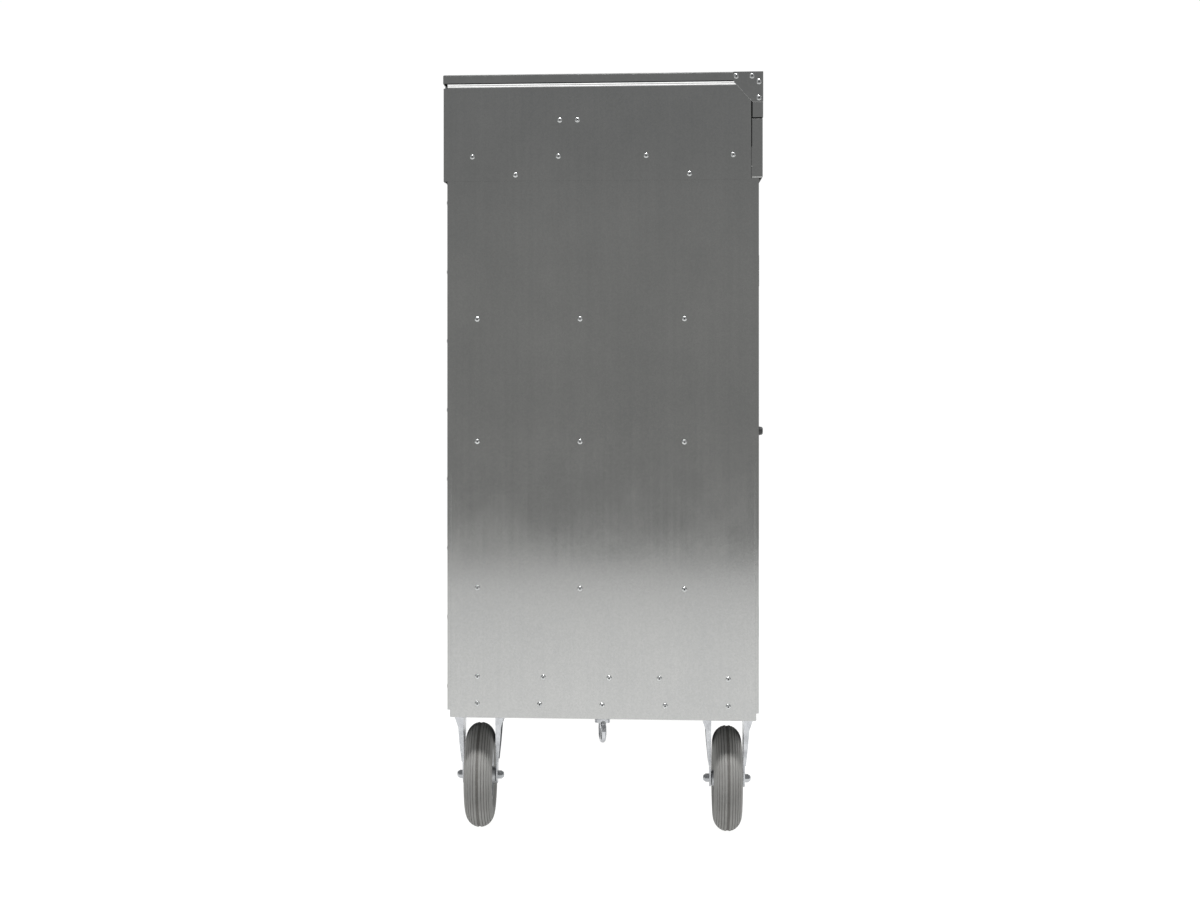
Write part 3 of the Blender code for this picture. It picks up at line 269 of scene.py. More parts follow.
def nylon_finish(name, colour, worn):
    made, tree, shader = start_finish(name, colour, 0.42, 0.0)
    place = stretched_place(tree)
    grain = add(tree, "TexVoronoi", {"Scale": 900.0}, feature="SMOOTH_F1")
    wire(tree, place, grain.inputs["Vector"])
    cloud = noise(tree, place, 60.0, 4.0)
    wire(tree, two_tones(tree, spread(tree, cloud, 0.0, 1.0), colour, worn), shader.inputs["Base Color"])
    wire(tree, spread(tree, cloud, 0.36, 0.5), shader.inputs["Roughness"])
    bumped(tree, shader, grain.outputs["Distance"], 0.00005)
    return made


grey_rubber = rubber_finish("grey_rubber", (0.225, 0.225, 0.217), (0.18, 0.178, 0.171))
# The grooves' rubber is darker, partly for dirt and partly as painted shade in the grooves.
groove_rubber_dirt_and_painted_shade = rubber_finish("groove_rubber_dirt_and_painted_shade", (0.115, 0.112, 0.105), (0.085, 0.082, 0.077))
black_nylon = nylon_finish("black_nylon", (0.018, 0.018, 0.019), (0.03, 0.03, 0.031))
red_nylon = nylon_finish("red_nylon", (0.42, 0.022, 0.016), (0.33, 0.02, 0.015))
print("rubber and nylon")

# %% [markdown]
# ## Put the finishes on the solids
# A solid's material slot takes the new finish, and the solid itself stays as it came. Sheet
# that stands upright was rolled upwards, and sheet that lies flat was rolled lengthwise, so
# each panel gets the grain that it was cut with.

# %% Assign the finishes
UPRIGHT = ("back_panel", "door", "hood_cheek")
PLATED = ("fork", "axle", "plate", "hinge", "prop", "eye", "cam", "lock_rod")
ONE_OFF = {"turn_handle": black_nylon}


def finish_for(name):
    if name in ONE_OFF:
        return ONE_OFF[name]
    for words, finish in (
        (("tyre",), grey_rubber),
        (("pedal",), red_nylon),
        (("rim",), rim_steel),
        (("end_panel",), galvanised_end),
        (("door_header",), galvanised),
        (UPRIGHT, galvanised_upright),
        (PLATED, zinc_plate),
    ):
        if any(word in name for word in words):
            return finish
    return galvanised


def wear(piece, finish):
    """The finish in the piece's only material slot."""
    if not piece.material_slots:
        piece.data.materials.append(finish)
    for material_slot in piece.material_slots:
        material_slot.material = finish


for name, solid in NODES.items():
    wear(solid, finish_for(name))
print(f"{len({finish_for(name).name for name in NODES})} finishes on {len(NODES)} solids")

# %% [markdown]
# ## Camera and light
# The chest is seen end on, a little off the middle, from 1.1 m up and some five metres
# away. A long lens keeps the verticals upright, so the camera stays level, and a
# small lens shift sets the chest in the frame.
#
# Polished metal shows its surroundings, so the surroundings are designed like a finish: a
# white floor that ends some metres off, and a darker room above it. Together they make the
# long step from light grey at the foot to dark grey above. The world is white only where
# the camera looks straight at it. A soft lamp overhead throws the cabinet's shadow on the
# tyres.

# %% Camera
EYE = Vector((cad_low.x - 4.82, -0.094, 1.11))
HEADING = math.radians(4.45)      # turned this far from straight along +X
lens = bpy.data.cameras.new("camera")
lens.lens = 59.2
lens.sensor_width = 36.0
lens.shift_x = 0.094
lens.shift_y = -0.054
lens.clip_end = 60.0
camera = bpy.data.objects.new("camera", lens)
bpy.context.scene.collection.objects.link(camera)
camera.location = EYE
camera.rotation_euler = (math.pi / 2, 0.0, HEADING - math.pi / 2)
bpy.context.scene.camera = camera
print(f"the camera stands {(EYE - Vector((cad_low.x, 0, EYE.z))).length:.2f} m from the end wall")

# %% Floor, room and lamps
FLOOR_REACH = 7.5                 # the bright floor ends here, beyond each side
ROOM_GREY = 0.385
WHITE_LEVEL = 1.02


def make_floor():
    bm = bmesh.new()
    bmesh.ops.create_circle(bm, cap_ends=True, segments=96, radius=FLOOR_REACH + size.x / 2)
    mesh = bpy.data.meshes.new("floor")
    bm.to_mesh(mesh)
    bm.free()
    floor = bpy.data.objects.new("floor", mesh)
    bpy.context.scene.collection.objects.link(floor)
    made, tree, shader = start_finish("pale_floor", (0.20, 0.20, 0.20), 0.9, 0.0)
    shader.inputs["Specular IOR Level"].default_value = 0.0
    shader.inputs["Emission Color"].default_value = (1.0, 1.0, 0.995, 1.0)
    shader.inputs["Emission Strength"].default_value = 0.97
    wear(floor, made)
    return floor


def make_room():
    """White to the camera. To the metal, a grey room that darkens upwards."""
    world = bpy.data.worlds.new("room")
    bpy.context.scene.world = world
    world.use_nodes = True
    tree = world.node_tree
    shown = tree.nodes["Background"]
    place = add(tree, "TexCoord")
    axes = add(tree, "SeparateXYZ")
    wire(tree, place.outputs["Generated"], axes.inputs["Vector"])
    room = two_tones(
        tree,
        spread(tree, axes.outputs["Z"], 0.0, 1.0, 0.05, 0.17),
        (ROOM_GREY, ROOM_GREY, ROOM_GREY * 0.985),
        (ROOM_GREY * 0.8, ROOM_GREY * 0.81, ROOM_GREY * 0.82),
    )
    ray = add(tree, "LightPath")
    white = (WHITE_LEVEL, WHITE_LEVEL, WHITE_LEVEL)
    seen = two_tones(tree, ray.outputs["Is Camera Ray"], room, white)
    wire(tree, seen, shown.inputs["Color"])


def make_lamp(name, place, target, width, power):
    lamp = bpy.data.lights.new(name, "AREA")
    lamp.shape = "DISK"
    lamp.size = width
    lamp.energy = power
    made = bpy.data.objects.new(name, lamp)
    bpy.context.scene.collection.objects.link(made)
    made.location = place
    made.rotation_euler = (Vector(target) - Vector(place)).to_track_quat("-Z", "Y").to_euler()
    return made


make_floor()
make_room()
bpy.context.scene.view_settings.view_transform = "Standard"
make_lamp("overhead", (cad_low.x - 1.5, 0.0, 6.0), (cad_low.x, 0.0, 0.3), width=1.2, power=560.0)
make_lamp("fill_front", (0.5, -4.5, 5.5), (0.0, 0.0, 0.9), width=3.0, power=160.0)
make_lamp("fill_back", (1.0, 4.5, 5.5), (0.0, 0.0, 0.9), width=3.0, power=120.0)
print("floor, room and three lamps")

# %% [markdown]
# ## Small tools for made pieces
# Rivets, nuts, wheels and bushes are all round, so one helper turns a profile about an axis.
# A profile is a short list of (radius, height) points. If it starts and ends on the axis
# the result is a closed solid. A matrix puts each copy in place, and copies on one panel
# share one mesh, because the riveter also treats a row as one job.

# %% Helpers for shapes
def facing(direction, place):
    """A matrix that turns +Z towards a direction and moves to a place."""
    turn = Vector(direction).to_track_quat("Z", "Y").to_matrix().to_4x4()
    return Matrix.Translation(place) @ turn


def turn_profile(bm, profile, matrix, steps=24):
    """Adds a turned shape to bm. Radius 0 is a point on the axis. Returns its faces."""
    rings = []
    for radius, height in profile:
        if radius < 1e-7:
            rings.append([bm.verts.new(matrix @ Vector((0.0, 0.0, height)))] * steps)
            continue
        angles = [2 * math.pi * k / steps for k in range(steps)]
        spots = [Vector((radius * math.cos(a), radius * math.sin(a), height)) for a in angles]
        rings.append([bm.verts.new(matrix @ spot) for spot in spots])
    faces = []
    for ring, after in zip(rings, rings[1:]):
        for k in range(steps):
            nearby = (k + 1) % steps
            corners = dict.fromkeys([ring[k], ring[nearby], after[nearby], after[k]])
            if len(corners) > 2:
                faces.append(bm.faces.new(list(corners)))
    return faces


def soft_box(bm, low, high, radius=0.001, segments=2):
    """A block with rounded edges, between two corners."""
    middle = (Vector(low) + Vector(high)) / 2
    extent = Vector(high) - Vector(low)
    matrix = Matrix.Translation(middle) @ Matrix.Diagonal((*extent, 1.0))
    made = bmesh.ops.create_cube(bm, size=1.0, matrix=matrix)
    edges = {edge for vert in made["verts"] for edge in vert.link_edges}
    bmesh.ops.bevel(
        bm, geom=list(edges), offset=radius, segments=segments, affect="EDGES", profile=0.5
    )


def prism(bm, near, far):
    """Joins two matching rings of points into a closed solid."""
    near, far = ([bm.verts.new(point) for point in ring] for ring in (near, far))
    bm.faces.new(near[::-1])
    bm.faces.new(far)
    for k in range(len(near)):
        nearby = (k + 1) % len(near)
        bm.faces.new([near[k], near[nearby], far[nearby], far[k]])


def sheet_strip(bm, outline, start, end, thick, axis="X"):
    """Folded sheet: an open outline, given thickness to its left, pushed along an axis."""
    put = {
        "X": lambda a, b, along: Vector((along, a, b)),
        "Y": lambda a, b, along: Vector((a, along, b)),
        "Z": lambda a, b, along: Vector((a, b, along)),
    }[axis]
    points = [Vector(point) for point in outline]
    normals = []
    for i, point in enumerate(points):
        runs = [points[j + 1] - points[j] for j in (i - 1, i) if 0 <= j < len(points) - 1]
        units = [Vector((-run.y, run.x)).normalized() for run in runs]
        mean = sum(units, Vector((0.0, 0.0))).normalized()
        normals.append(mean * thick / max(0.4, mean.dot(units[0])))
    ring = points + [p + n for p, n in zip(points[::-1], normals[::-1])]
    prism(bm, *([put(p.x, p.y, along) for p in ring] for along in (start, end)))


def make_piece(name, bm, finish, body, smooth_below=32.0):
    """Turns bm into a piece with a finish, riding on a body of the chest."""
    bmesh.ops.recalc_face_normals(bm, faces=bm.faces)
    mesh = bpy.data.meshes.new(name)
    bm.to_mesh(mesh)
    bm.free()
    mesh.shade_smooth()
    mesh.set_sharp_from_angle(angle=math.radians(smooth_below))
    piece = bpy.data.objects.new(name, mesh)
    bpy.context.scene.collection.objects.link(piece)
    for one in finish if isinstance(finish, tuple) else (finish,):
        mesh.materials.append(one)
    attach(piece, body)
    return piece


def arc(centre, radius, first, last, steps):
    """Points along an arc, in degrees."""
    turns = [math.radians(first + (last - first) * k / steps) for k in range(steps + 1)]
    return [(centre[0] + radius * math.cos(a), centre[1] + radius * math.sin(a)) for a in turns]


def middle_of(node):
    low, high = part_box(node)
    return (low + high) / 2


print("helpers ready")

# %% [markdown]
# ## Blind rivets
# The sheets are held by blind rivets, set from outside with a pulling gun. What shows is a
# low dome with a small hole where the pulled nail broke off. A plain half sphere would look
# like a bolt, so the profile has the hole, its broken nail, and a flange that is almost flat
# at the rim. That hole, painted near black as shade, reads as a rivet from some metres away.

# %% Rivet
RIVET_RADIUS = 0.0064
RIVET_DOME = 0.0026
RIVET_HOLE = 0.0021
RIVET_STEPS = 20


def rivet_profile(dome):
    """Radius and height, from the broken nail out to the flange."""
    nail = dome * 0.25
    bulge = [
        (RIVET_HOLE + (RIVET_RADIUS - RIVET_HOLE) * math.sin(t), dome * (0.16 + 0.84 * math.cos(t)))
        for t in (math.radians(d) for d in (14, 32, 50, 68, 84))
    ]
    rim = [(RIVET_HOLE * 0.92, dome * 0.93), (RIVET_HOLE * 1.12, dome)]
    return [(0.0, nail), (RIVET_HOLE * 0.9, nail)] + rim + bulge + [(RIVET_RADIUS, 0.0), (0.0, 0.0)]


def rivets(name, spots, outward, body="cabinet", dome=RIVET_DOME):
    bm = bmesh.new()
    for spot in spots:
        faces = turn_profile(bm, rivet_profile(dome), facing(outward, spot), RIVET_STEPS)
        # The nail and the hole's wall take the near-black steel, painted shade for the hole.
        for face in faces[: 2 * RIVET_STEPS]:      # the broken nail and the hole's wall
            face.material_index = 1
    return make_piece(name, bm, (rivet_steel, nail_painted_shade_steel), body, 40.0)


print(f"a rivet of {2000 * RIVET_RADIUS:.1f} mm with a hole of {2000 * RIVET_HOLE:.1f} mm")

# %% [markdown]
# Where a rivet sits follows from what it holds. Three on each shelf angle, five through the
# inner floor's flange, five through the floor pan, and on the hood the tray, the end wall
# and the foot of the lid's prop. So the heights come from those pieces' own boxes.

# %% Rivets on the two ends
SHELF_RIVETS = (-0.200, 0.054, 0.306)
FLANGE_RIVETS = (-0.306, -0.139, -0.017, 0.144, 0.306)
PAN_RIVETS = (-0.306, -0.153, 0.0, 0.153, 0.306)
TRAY_RIVETS = (-0.318, -0.107, 0.107, 0.318)
HOOD_FOOT_RIVETS = (-0.212, 0.212)
PROP_RIVET_REACH = 0.0215          # either side of the prop's pivot
TRAY_RIVET_RAISE = 0.005           # above the middle of the tray's flange


def end_rivet_spots(end, way):
    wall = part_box(f"{end}_end_panel")[0 if way < 0 else 1].x
    spots = []
    for level in ("low", "middle", "high"):
        height = middle_of(f"{end}_shelf_rail_{level}").z
        spots += [(wall, y, height) for y in SHELF_RIVETS]
    spots += [(wall, y, middle_of("inner_floor").z) for y in FLANGE_RIVETS]
    pan_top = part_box("floor_pan")[1].z
    panel_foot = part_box(f"{end}_end_panel")[0].z
    return spots + [(wall, y, (panel_foot + pan_top) / 2) for y in PAN_RIVETS]


def hood_rivet_spots(end, way):
    low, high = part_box(f"{end}_hood_cheek")
    wall = (low if way < 0 else high).x
    tray = middle_of("top_tray").z + TRAY_RIVET_RAISE
    overlap = (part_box(f"{end}_end_panel")[1].z + low.z) / 2
    prop = middle_of(f"{end}_prop_bracket")
    spots = [(wall, y, tray) for y in TRAY_RIVETS] + [(wall, y, overlap) for y in HOOD_FOOT_RIVETS]
    return spots + [(wall, prop.y + PROP_RIVET_REACH * k, prop.z) for k in (-1, 1)]


GUSSET_RIVETS = ((0.065, 0.011), (0.027, 0.011), (0.010, 0.025), (0.010, 0.064))
GUSSET_DOME = 0.0014               # flatter heads, so that nothing catches on the corner

for end, way in ENDS:
    rivets(f"{end}_end_rivets", end_rivet_spots(end, way), (way, 0, 0))
    rivets(f"{end}_hood_rivets", hood_rivet_spots(end, way), (way, 0, 0))
    low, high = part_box(f"{end}_lid_gusset")
    face = (low if way < 0 else high).x
    spots = [(face, low.y + inward, high.z - down) for inward, down in GUSSET_RIVETS]
    rivets(f"{end}_gusset_rivets", spots, (way, 0, 0), "lid", GUSSET_DOME)
print(f"{len(end_rivet_spots('left', -1)) + len(hood_rivet_spots('left', -1)) + 4} rivets on each end")

# %% Rivets along the front and the back
LONG_PITCH = 0.21
FRONT_DOME = 0.0010                # flat heads, so that the lid's apron stays foremost


def along(low, high, pitch, inset):
    """Even places between two ends, near a pitch."""
    count = max(1, round((high - low - 2 * inset) / pitch))
    step = (high - low - 2 * inset) / count
    return [low + inset + step * k for k in range(count + 1)]


front_low, front_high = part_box("hood_front_panel")
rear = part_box("hood_back_panel")[1].y
panel_low, panel_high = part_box("back_panel")
post_low, post_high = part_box("right_end_panel")
tray_row = middle_of("top_tray").z + TRAY_RIVET_RAISE
pan_row = (panel_low.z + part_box("floor_pan")[1].z) / 2
hood_columns = along(front_low.x, front_high.x, LONG_PITCH, 0.060)
hood_spots = [(x, front_low.y, tray_row) for x in hood_columns]
rivets("hood_front_rivets", hood_spots, (0, -1, 0), dome=FRONT_DOME)
rivets("hood_back_rivets", [(x, rear, tray_row) for x in hood_columns[1:-1]], (0, 1, 0))
rear_spots = [(x, panel_high.y, pan_row) for x in along(panel_low.x, panel_high.x, 0.153, 0.070)]
post_middle = (post_low.x + post_high.x) / 2
for x in (-post_middle, post_middle):
    heights = along(panel_low.z, front_low.z, 0.16, 0.055)
    rear_spots += [(x, post_high.y, z) for z in heights]
rivets("back_rivets", rear_spots, (0, 1, 0))
print(f"{len(hood_columns)} rivets on the hood's front, {len(rear_spots)} on the back")

# %% [markdown]
# ## Tyres
# The tyres are soft rubber balloons with ribs running round them and one wide channel down
# the middle. Seen from the end of the chest the ribs are the only thing that says rubber,
# so they are real shape and not a bump. The section is half an ellipse from the widest part
# of the wall up to the crown. We walk along it and push the grooves in by their depth,
# then turn the whole section round the axle. The grooves get a darker rubber: dirt and painted shade.

# %% Ribbed tyres
WALL_DEPTH = 0.038                 # crown to the widest part of the wall
CHANNEL_HALF = 5.5                 # degrees from the crown, along the ellipse
RIB = 8.6
GROOVE = 3.2
GROOVE_SLOPE = 0.5                 # degrees, from a rib's edge down into the groove
RIBS_PER_SIDE = 5
CHANNEL_DEPTH = 0.0016
GROOVE_DEPTH = 0.0013
TYRE_STEPS = 112
BEAD_SHARE = 0.76                  # of the tyre's width, where it grips the rim
BEAD_GAP = 0.0003


def half_section():
    """(degrees from the crown, groove depth), from the middle outwards."""
    steps = [(0.0, CHANNEL_DEPTH), (CHANNEL_HALF, CHANNEL_DEPTH)]
    angle = CHANNEL_HALF + GROOVE_SLOPE
    for rib in range(RIBS_PER_SIDE):
        steps += [(angle, 0.0), (angle + RIB / 2, -0.0001), (angle + RIB, 0.0)]
        angle += RIB
        if rib < RIBS_PER_SIDE - 1:
            floor = (angle + GROOVE_SLOPE, angle + GROOVE - GROOVE_SLOPE)
            steps += [(edge, GROOVE_DEPTH) for edge in floor]
            angle += GROOVE
    return steps + [(a, 0.0) for a in (70.0, 76.0, 83.0, 90.0)]


def tyre_section(half_width, bead, crown):
    """(radius, across, in a groove) from one bead over the crown to the other."""
    widest = crown - WALL_DEPTH
    outer = []
    for degrees, depth in half_section():
        a = math.radians(degrees)
        shrink = 1.0 - depth / WALL_DEPTH
        spot = (widest + WALL_DEPTH * math.cos(a) * shrink, half_width * math.sin(a) * shrink)
        outer.append((*spot, depth > 0.0))
    bead_half = half_width * BEAD_SHARE
    wall = [
        (widest - (widest - bead) * share, bead_half + (half_width - bead_half) * math.cos(lean))
        for share, lean in ((0.3, 0.45), (0.6, 0.95), (0.85, 1.35), (1.0, math.pi / 2))
    ]
    side = outer + [(radius, across, False) for radius, across in wall]
    return [(radius, -across, groove) for radius, across, groove in side[:0:-1]] + side


def make_tyre(name, body):
    low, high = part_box(f"{name}_tyre")
    centre = (low + high) / 2
    half_width = (high.y - low.y) / 2
    crown = (high.z - low.z) / 2
    rim_low, rim_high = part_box(f"{name}_rim")
    bead = (rim_high.z - rim_low.z) / 2 + BEAD_GAP
    section = tyre_section(half_width, bead, crown)
    bm = bmesh.new()
    profile = [(radius, across) for radius, across, _ in section]
    faces = turn_profile(bm, profile + profile[:1], facing((0, 1, 0), centre), TYRE_STEPS)
    # Faces in the channel and the grooves take the darker rubber: dirt and painted shade.
    for number, face in enumerate(faces):
        ring = number // TYRE_STEPS
        after = (ring + 1) % len(section)
        face.material_index = int(section[ring][2] and section[after][2])
    bmesh.ops.remove_doubles(bm, verts=bm.verts, dist=1e-6)
    tyre = make_piece(f"{name}_ribbed_tyre", bm, (grey_rubber, groove_rubber_dirt_and_painted_shade), body, 24)
    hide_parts(f"{name}_tyre")
    return crown, half_width


WHEELS = [f"{kind}_{side}" for kind in ("fixed", "swivel") for side in ("front", "back")]
for wheel in WHEELS:
    crown, half_width = make_tyre(wheel, f"{wheel}_wheel")
print(f"four tyres, {2000 * crown:.0f} mm across and {2000 * half_width:.0f} mm wide")

# %% [markdown]
# ## Rims
# A castor rim of this size is pressed from two dished discs, bolted together through the
# web, with a tube for the axle between them. Bolted halves are what let the tyre be changed.
# Each disc is a turned profile: rolled lip, bead seat, a deep dish and the hub's boss. Five
# bolts hold them, and a black valve stands in the dish.

# %% Bolts and nuts
HEX_TRIM = 0.08                    # shares of the hexagon's radius
HEX_FACE = 0.86
WASHER_REACH = 1.16
THREAD_SHARE = 0.5
THREAD_PITCH = 0.0012


def add_hexagon(bm, matrix, start, thick, radius):
    """A hexagon with the corners of its outer face turned off."""
    trim = radius * HEX_TRIM
    profile = [(0.0, start), (radius, start), (radius, start + thick - trim)]
    profile += [(radius * HEX_FACE, start + thick), (0.0, start + thick)]
    turn_profile(bm, profile, matrix, 6)


def add_nut(bm, matrix, radius, thick, stem=0.004, washer=0.0016):
    """Washer, hexagon nut and the end of the bolt with its thread."""
    reach = radius * WASHER_REACH
    turn_profile(bm, [(0.0, 0.0), (reach, 0.0), (reach, washer), (0.0, washer)], matrix, 24)
    add_hexagon(bm, matrix, washer, thick, radius)
    thread = radius * THREAD_SHARE
    top = washer + thick
    turns = max(2, round(stem / THREAD_PITCH))
    profile = [(0.0, top)]
    for k in range(turns):
        profile += [(thread * 0.9, top + stem * k / turns), (thread, top + stem * (k + 0.5) / turns)]
    profile += [(thread * 0.8, top + stem), (0.0, top + stem)]
    turn_profile(bm, profile, matrix, 16)


print("helpers for bolts and nuts ready")

# %% Pressed rims with their valves
RIM_BOLTS = 5
RIM_BOLT_CIRCLE = 0.040
RIM_BOLT_RADIUS = 0.0062
RIM_BOLT_TURN = 0.3                # radians from the X axis to the first bolt
RIM_NUT = (0.0050, 0.0030)         # nut, then the thread past it
RIM_HEAD = 0.0044
RIM_WEB = 0.0069                   # bolts start here, 0.1 mm inside the web's face
RIM_SHEET = 0.0018
RIM_STEPS = 72
AXLE_BORE = 0.0066
VALVE_CIRCLE = 0.052
VALVE_START = 0.0095


def rim_half(hub_half, edge):
    """One pressed disc, outside then back along its inside, from the hub to the lip."""
    outside = [
        (0.0125, hub_half - 0.0002),
        (0.0185, hub_half - 0.0002),
        (0.0200, hub_half - 0.0020),
        (0.0208, 0.0150),
        (0.0240, 0.0088),
        (0.0300, 0.0070),
        (0.0470, 0.0070),
        (0.0535, 0.0090),
        (0.0575, 0.0150),
        (0.0595, 0.0215),
        (0.0625, 0.0255),
    ]
    lip = [(edge - 0.0036, 0.0262)]
    lip += [(edge - 0.0018 + r, 0.0268 + a) for r, a in arc((0, 0), 0.0017, 200, -60, 6)]
    back = [(edge - 0.0030, 0.0240), (0.0612, 0.0195), (0.0590, 0.0110)]
    back += [(0.0550, 0.0070), (0.0480, 0.0070 - RIM_SHEET * 2), (0.0290, 0.0070 - RIM_SHEET * 2)]
    return outside + lip + back


def make_rim(name, body):
    low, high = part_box(f"{name}_rim")
    centre = (low + high) / 2
    hub_half = (high.y - low.y) / 2
    edge = (high.z - low.z) / 2
    bm = bmesh.new()
    for way in (-1, 1):
        matrix = facing((0, way, 0), centre)
        profile = rim_half(hub_half, edge)
        closing = [(0.0250, 0.0), (AXLE_BORE, 0.0), (AXLE_BORE, hub_half - 0.0010), profile[0]]
        turn_profile(bm, profile + closing, matrix, RIM_STEPS)
        for k in range(RIM_BOLTS):
            turn = 2 * math.pi * k / RIM_BOLTS + RIM_BOLT_TURN
            across = Vector((math.cos(turn), 0.0, math.sin(turn))) * RIM_BOLT_CIRCLE
            web = Vector((0.0, way * RIM_WEB, 0.0))
            spot = facing((0, way, 0), centre + across + web)
            if way < 0:
                add_nut(bm, spot, RIM_BOLT_RADIUS, *RIM_NUT)
            else:
                add_hexagon(bm, spot, 0.0, RIM_HEAD, RIM_BOLT_RADIUS)
    rim = make_piece(f"{name}_pressed_rim", bm, rim_steel, body, 28)
    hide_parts(f"{name}_rim")
    valve = bmesh.new()
    spot = centre + Vector((0.0, -VALVE_START, -VALVE_CIRCLE))
    stem = [(0.0, -0.002), (0.0052, -0.002), (0.0050, 0.002), (0.0034, 0.005), (0.0030, 0.012)]
    stem += [(0.0040, 0.0122), (0.0041, 0.0190), (0.0034, 0.0205), (0.0, 0.0206)]
    turn_profile(valve, stem, facing((0, -1, 0), spot), 20)
    make_piece(f"{name}_valve", valve, black_nylon, body)


for wheel in WHEELS:
    make_rim(wheel, f"{wheel}_wheel")
print(f"four rims with {RIM_BOLTS} bolts and a valve each")

# %% [markdown]
# ## Castor bolts
# Each castor hangs on four bolts that come down through the floor pan. Under the plate that
# leaves a washer, a nut and the end of the thread near each corner. The nuts of one castor
# are one piece, because they never move apart.

# %% Nuts under the castor plates
BOLT_INSET = 0.015                 # from the plate's edges
NUT_RADIUS = 0.0095
NUT_THICK = 0.0065
PLATES = {"fixed": ("fork", 0.004), "swivel": ("plate", 0.005)}

for wheel in WHEELS:
    holder, plate_thick = PLATES[wheel.split("_")[0]]
    low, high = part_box(f"{wheel}_{holder}")
    bm = bmesh.new()
    for x in (low.x + BOLT_INSET, high.x - BOLT_INSET):
        for y in (low.y + BOLT_INSET, high.y - BOLT_INSET):
            under = facing((0, 0, -1), Vector((x, y, high.z - plate_thick)))
            add_nut(bm, under, NUT_RADIUS, NUT_THICK)
    make_piece(f"{wheel}_plate_nuts", bm, zinc_plate, "cabinet")
print(f"four nuts under each of {len(WHEELS)} castors")

# %% [markdown]
# ## Weather strip under the lid
# Between the lid's flange and the hood runs a bright ribbed strip that keeps rain out. In
# the gap it shows as two light lines with dark ones beside them. Its two faces lean out at
# the top, so they mirror the floor and not the room. It is one extruded section, as it
# would come off the roll.

# %% Finish: bright strip
bright_strip = plated_finish("bright_strip", (0.80, 0.80, 0.80), (0.90, 0.90, 0.90), 0.17, 0.00001)
print("a finish for the strip")

# %% Strip along both ends
LEDGE_DOWN = 0.0155                # the hood's ledge, below its rim
STRIP_START = 0.002                # short of the hood's front
STRIP_END = 0.010                  # short of the lid's hinge
STRIP_SECTION = (                  # in from the hood's wall, up from its ledge
    (0.0136, 0.0003),
    (0.0070, 0.0003),
    (0.0070, 0.0016),
    (0.0031, 0.0016),
    (0.0022, 0.0043),
    (0.0070, 0.0045),
    (0.0070, 0.0062),
    (0.0031, 0.0062),
    (0.0023, 0.0086),
    (0.0136, 0.0086),
)

for end, way in ENDS:
    low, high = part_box(f"{end}_hood_cheek")
    wall = (high if way > 0 else low).x
    ledge = high.z - LEDGE_DOWN
    outline = [(wall - way * inward, ledge + up) for inward, up in STRIP_SECTION]
    bm = bmesh.new()
    ends = (low.y + STRIP_START, high.y - STRIP_END)
    prism(bm, *([(x, y, z) for x, z in outline] for y in ends))
    make_piece(f"{end}_weather_strip", bm, bright_strip, "cabinet", 30)
print(f"a ribbed strip on {len(ENDS)} ends")

# %% [markdown]
# ## Small parts of the lid
# A two metre sheet would drum and sag, so a hat-shaped rib is spot welded under the middle
# of the lid. Near each end the lid has a keeper, a small folded channel that takes the tip
# of the prop when the lid is up.

# %% Lid rib and keepers
lid_low, lid_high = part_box("lid_panel")
LID_SHEET = 0.0015
TOUCH_GAP = 0.0003                 # between a made piece and the sheet it sits on
under_lid = lid_high.z - LID_SHEET
RIB_HALF = 0.028
RIB_DEEP = 0.017
RIB_FLANGE = 0.016
RIB_SHEET = 0.0012
RIB_END = 0.034                    # short of the lid's ends
RIB_LEAN = 0.006                   # each wall leans in by this

bm = bmesh.new()
seat = under_lid - TOUCH_GAP - RIB_SHEET
hat = [
    (-RIB_HALF - RIB_FLANGE, seat),
    (-RIB_HALF, seat),
    (-RIB_HALF + RIB_LEAN, seat - RIB_DEEP),
    (RIB_HALF - RIB_LEAN, seat - RIB_DEEP),
    (RIB_HALF, seat),
    (RIB_HALF + RIB_FLANGE, seat),
]
sheet_strip(bm, hat, lid_low.x + RIB_END, lid_high.x - RIB_END, RIB_SHEET)
make_piece("lid_rib", bm, galvanised, "lid")

KEEPER_PLACE = (0.976, 0.108)
KEEPER_FLANGE = 0.011              # from the keeper's middle to its flange's edge
KEEPER_WALL = 0.0065               # from its middle to its wall
KEEPER_DEEP = 0.006
KEEPER_HALF = 0.014
for end, way in ENDS:
    bm = bmesh.new()
    middle = way * KEEPER_PLACE[0]
    wall = middle - KEEPER_WALL
    channel = [(middle - KEEPER_FLANGE, seat), (wall, seat), (wall, seat - KEEPER_DEEP)]
    first, last = (KEEPER_PLACE[1] + half for half in (-KEEPER_HALF, KEEPER_HALF))
    sheet_strip(bm, channel, first, last, RIB_SHEET, "Y")
    make_piece(f"{end}_prop_keeper", bm, zinc_plate, "lid")
print("one rib and two keepers under the lid")

# %% [markdown]
# ## Small parts of the doors
# A small moulded stop stands on each post's face, on the side that the open door swings
# round to. It is a turned profile with a hole for its screw.

# %% Door stops
STOP_RADIUS = 0.011
STOP_HEIGHT = 0.999
STOP_OUTWARD = 0.0045              # from the middle of the post, clear of the open door
stop_foot = [(0.0, 0.0), (STOP_RADIUS, 0.0), (STOP_RADIUS * 0.92, 0.004)]
for end, way in ENDS:
    low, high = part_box(f"{end}_end_panel")
    reach = low.y - cad_low.y
    profile = stop_foot + [(STOP_RADIUS * 0.84, reach - 0.002), (STOP_RADIUS * 0.64, reach - 0.0003)]
    profile += [(0.003, reach - 0.0003), (0.0026, reach - 0.003), (0.0, reach - 0.003)]
    bm = bmesh.new()
    spot = Vector(((low.x + high.x) / 2 + way * STOP_OUTWARD, low.y, STOP_HEIGHT))
    turn_profile(bm, profile, facing((0, -1, 0), spot), 32)
    make_piece(f"{end}_door_stop", bm, black_nylon, "cabinet")
    print(end, "stop at", [round(v, 4) for v in spot], "reaches", round(reach, 4))

# %% [markdown]
# A fold of thin sheet is welded up the inside of each door, so that a wide leaf stays flat.
# It is a hat section like the lid's rib, but upright and a little narrower.

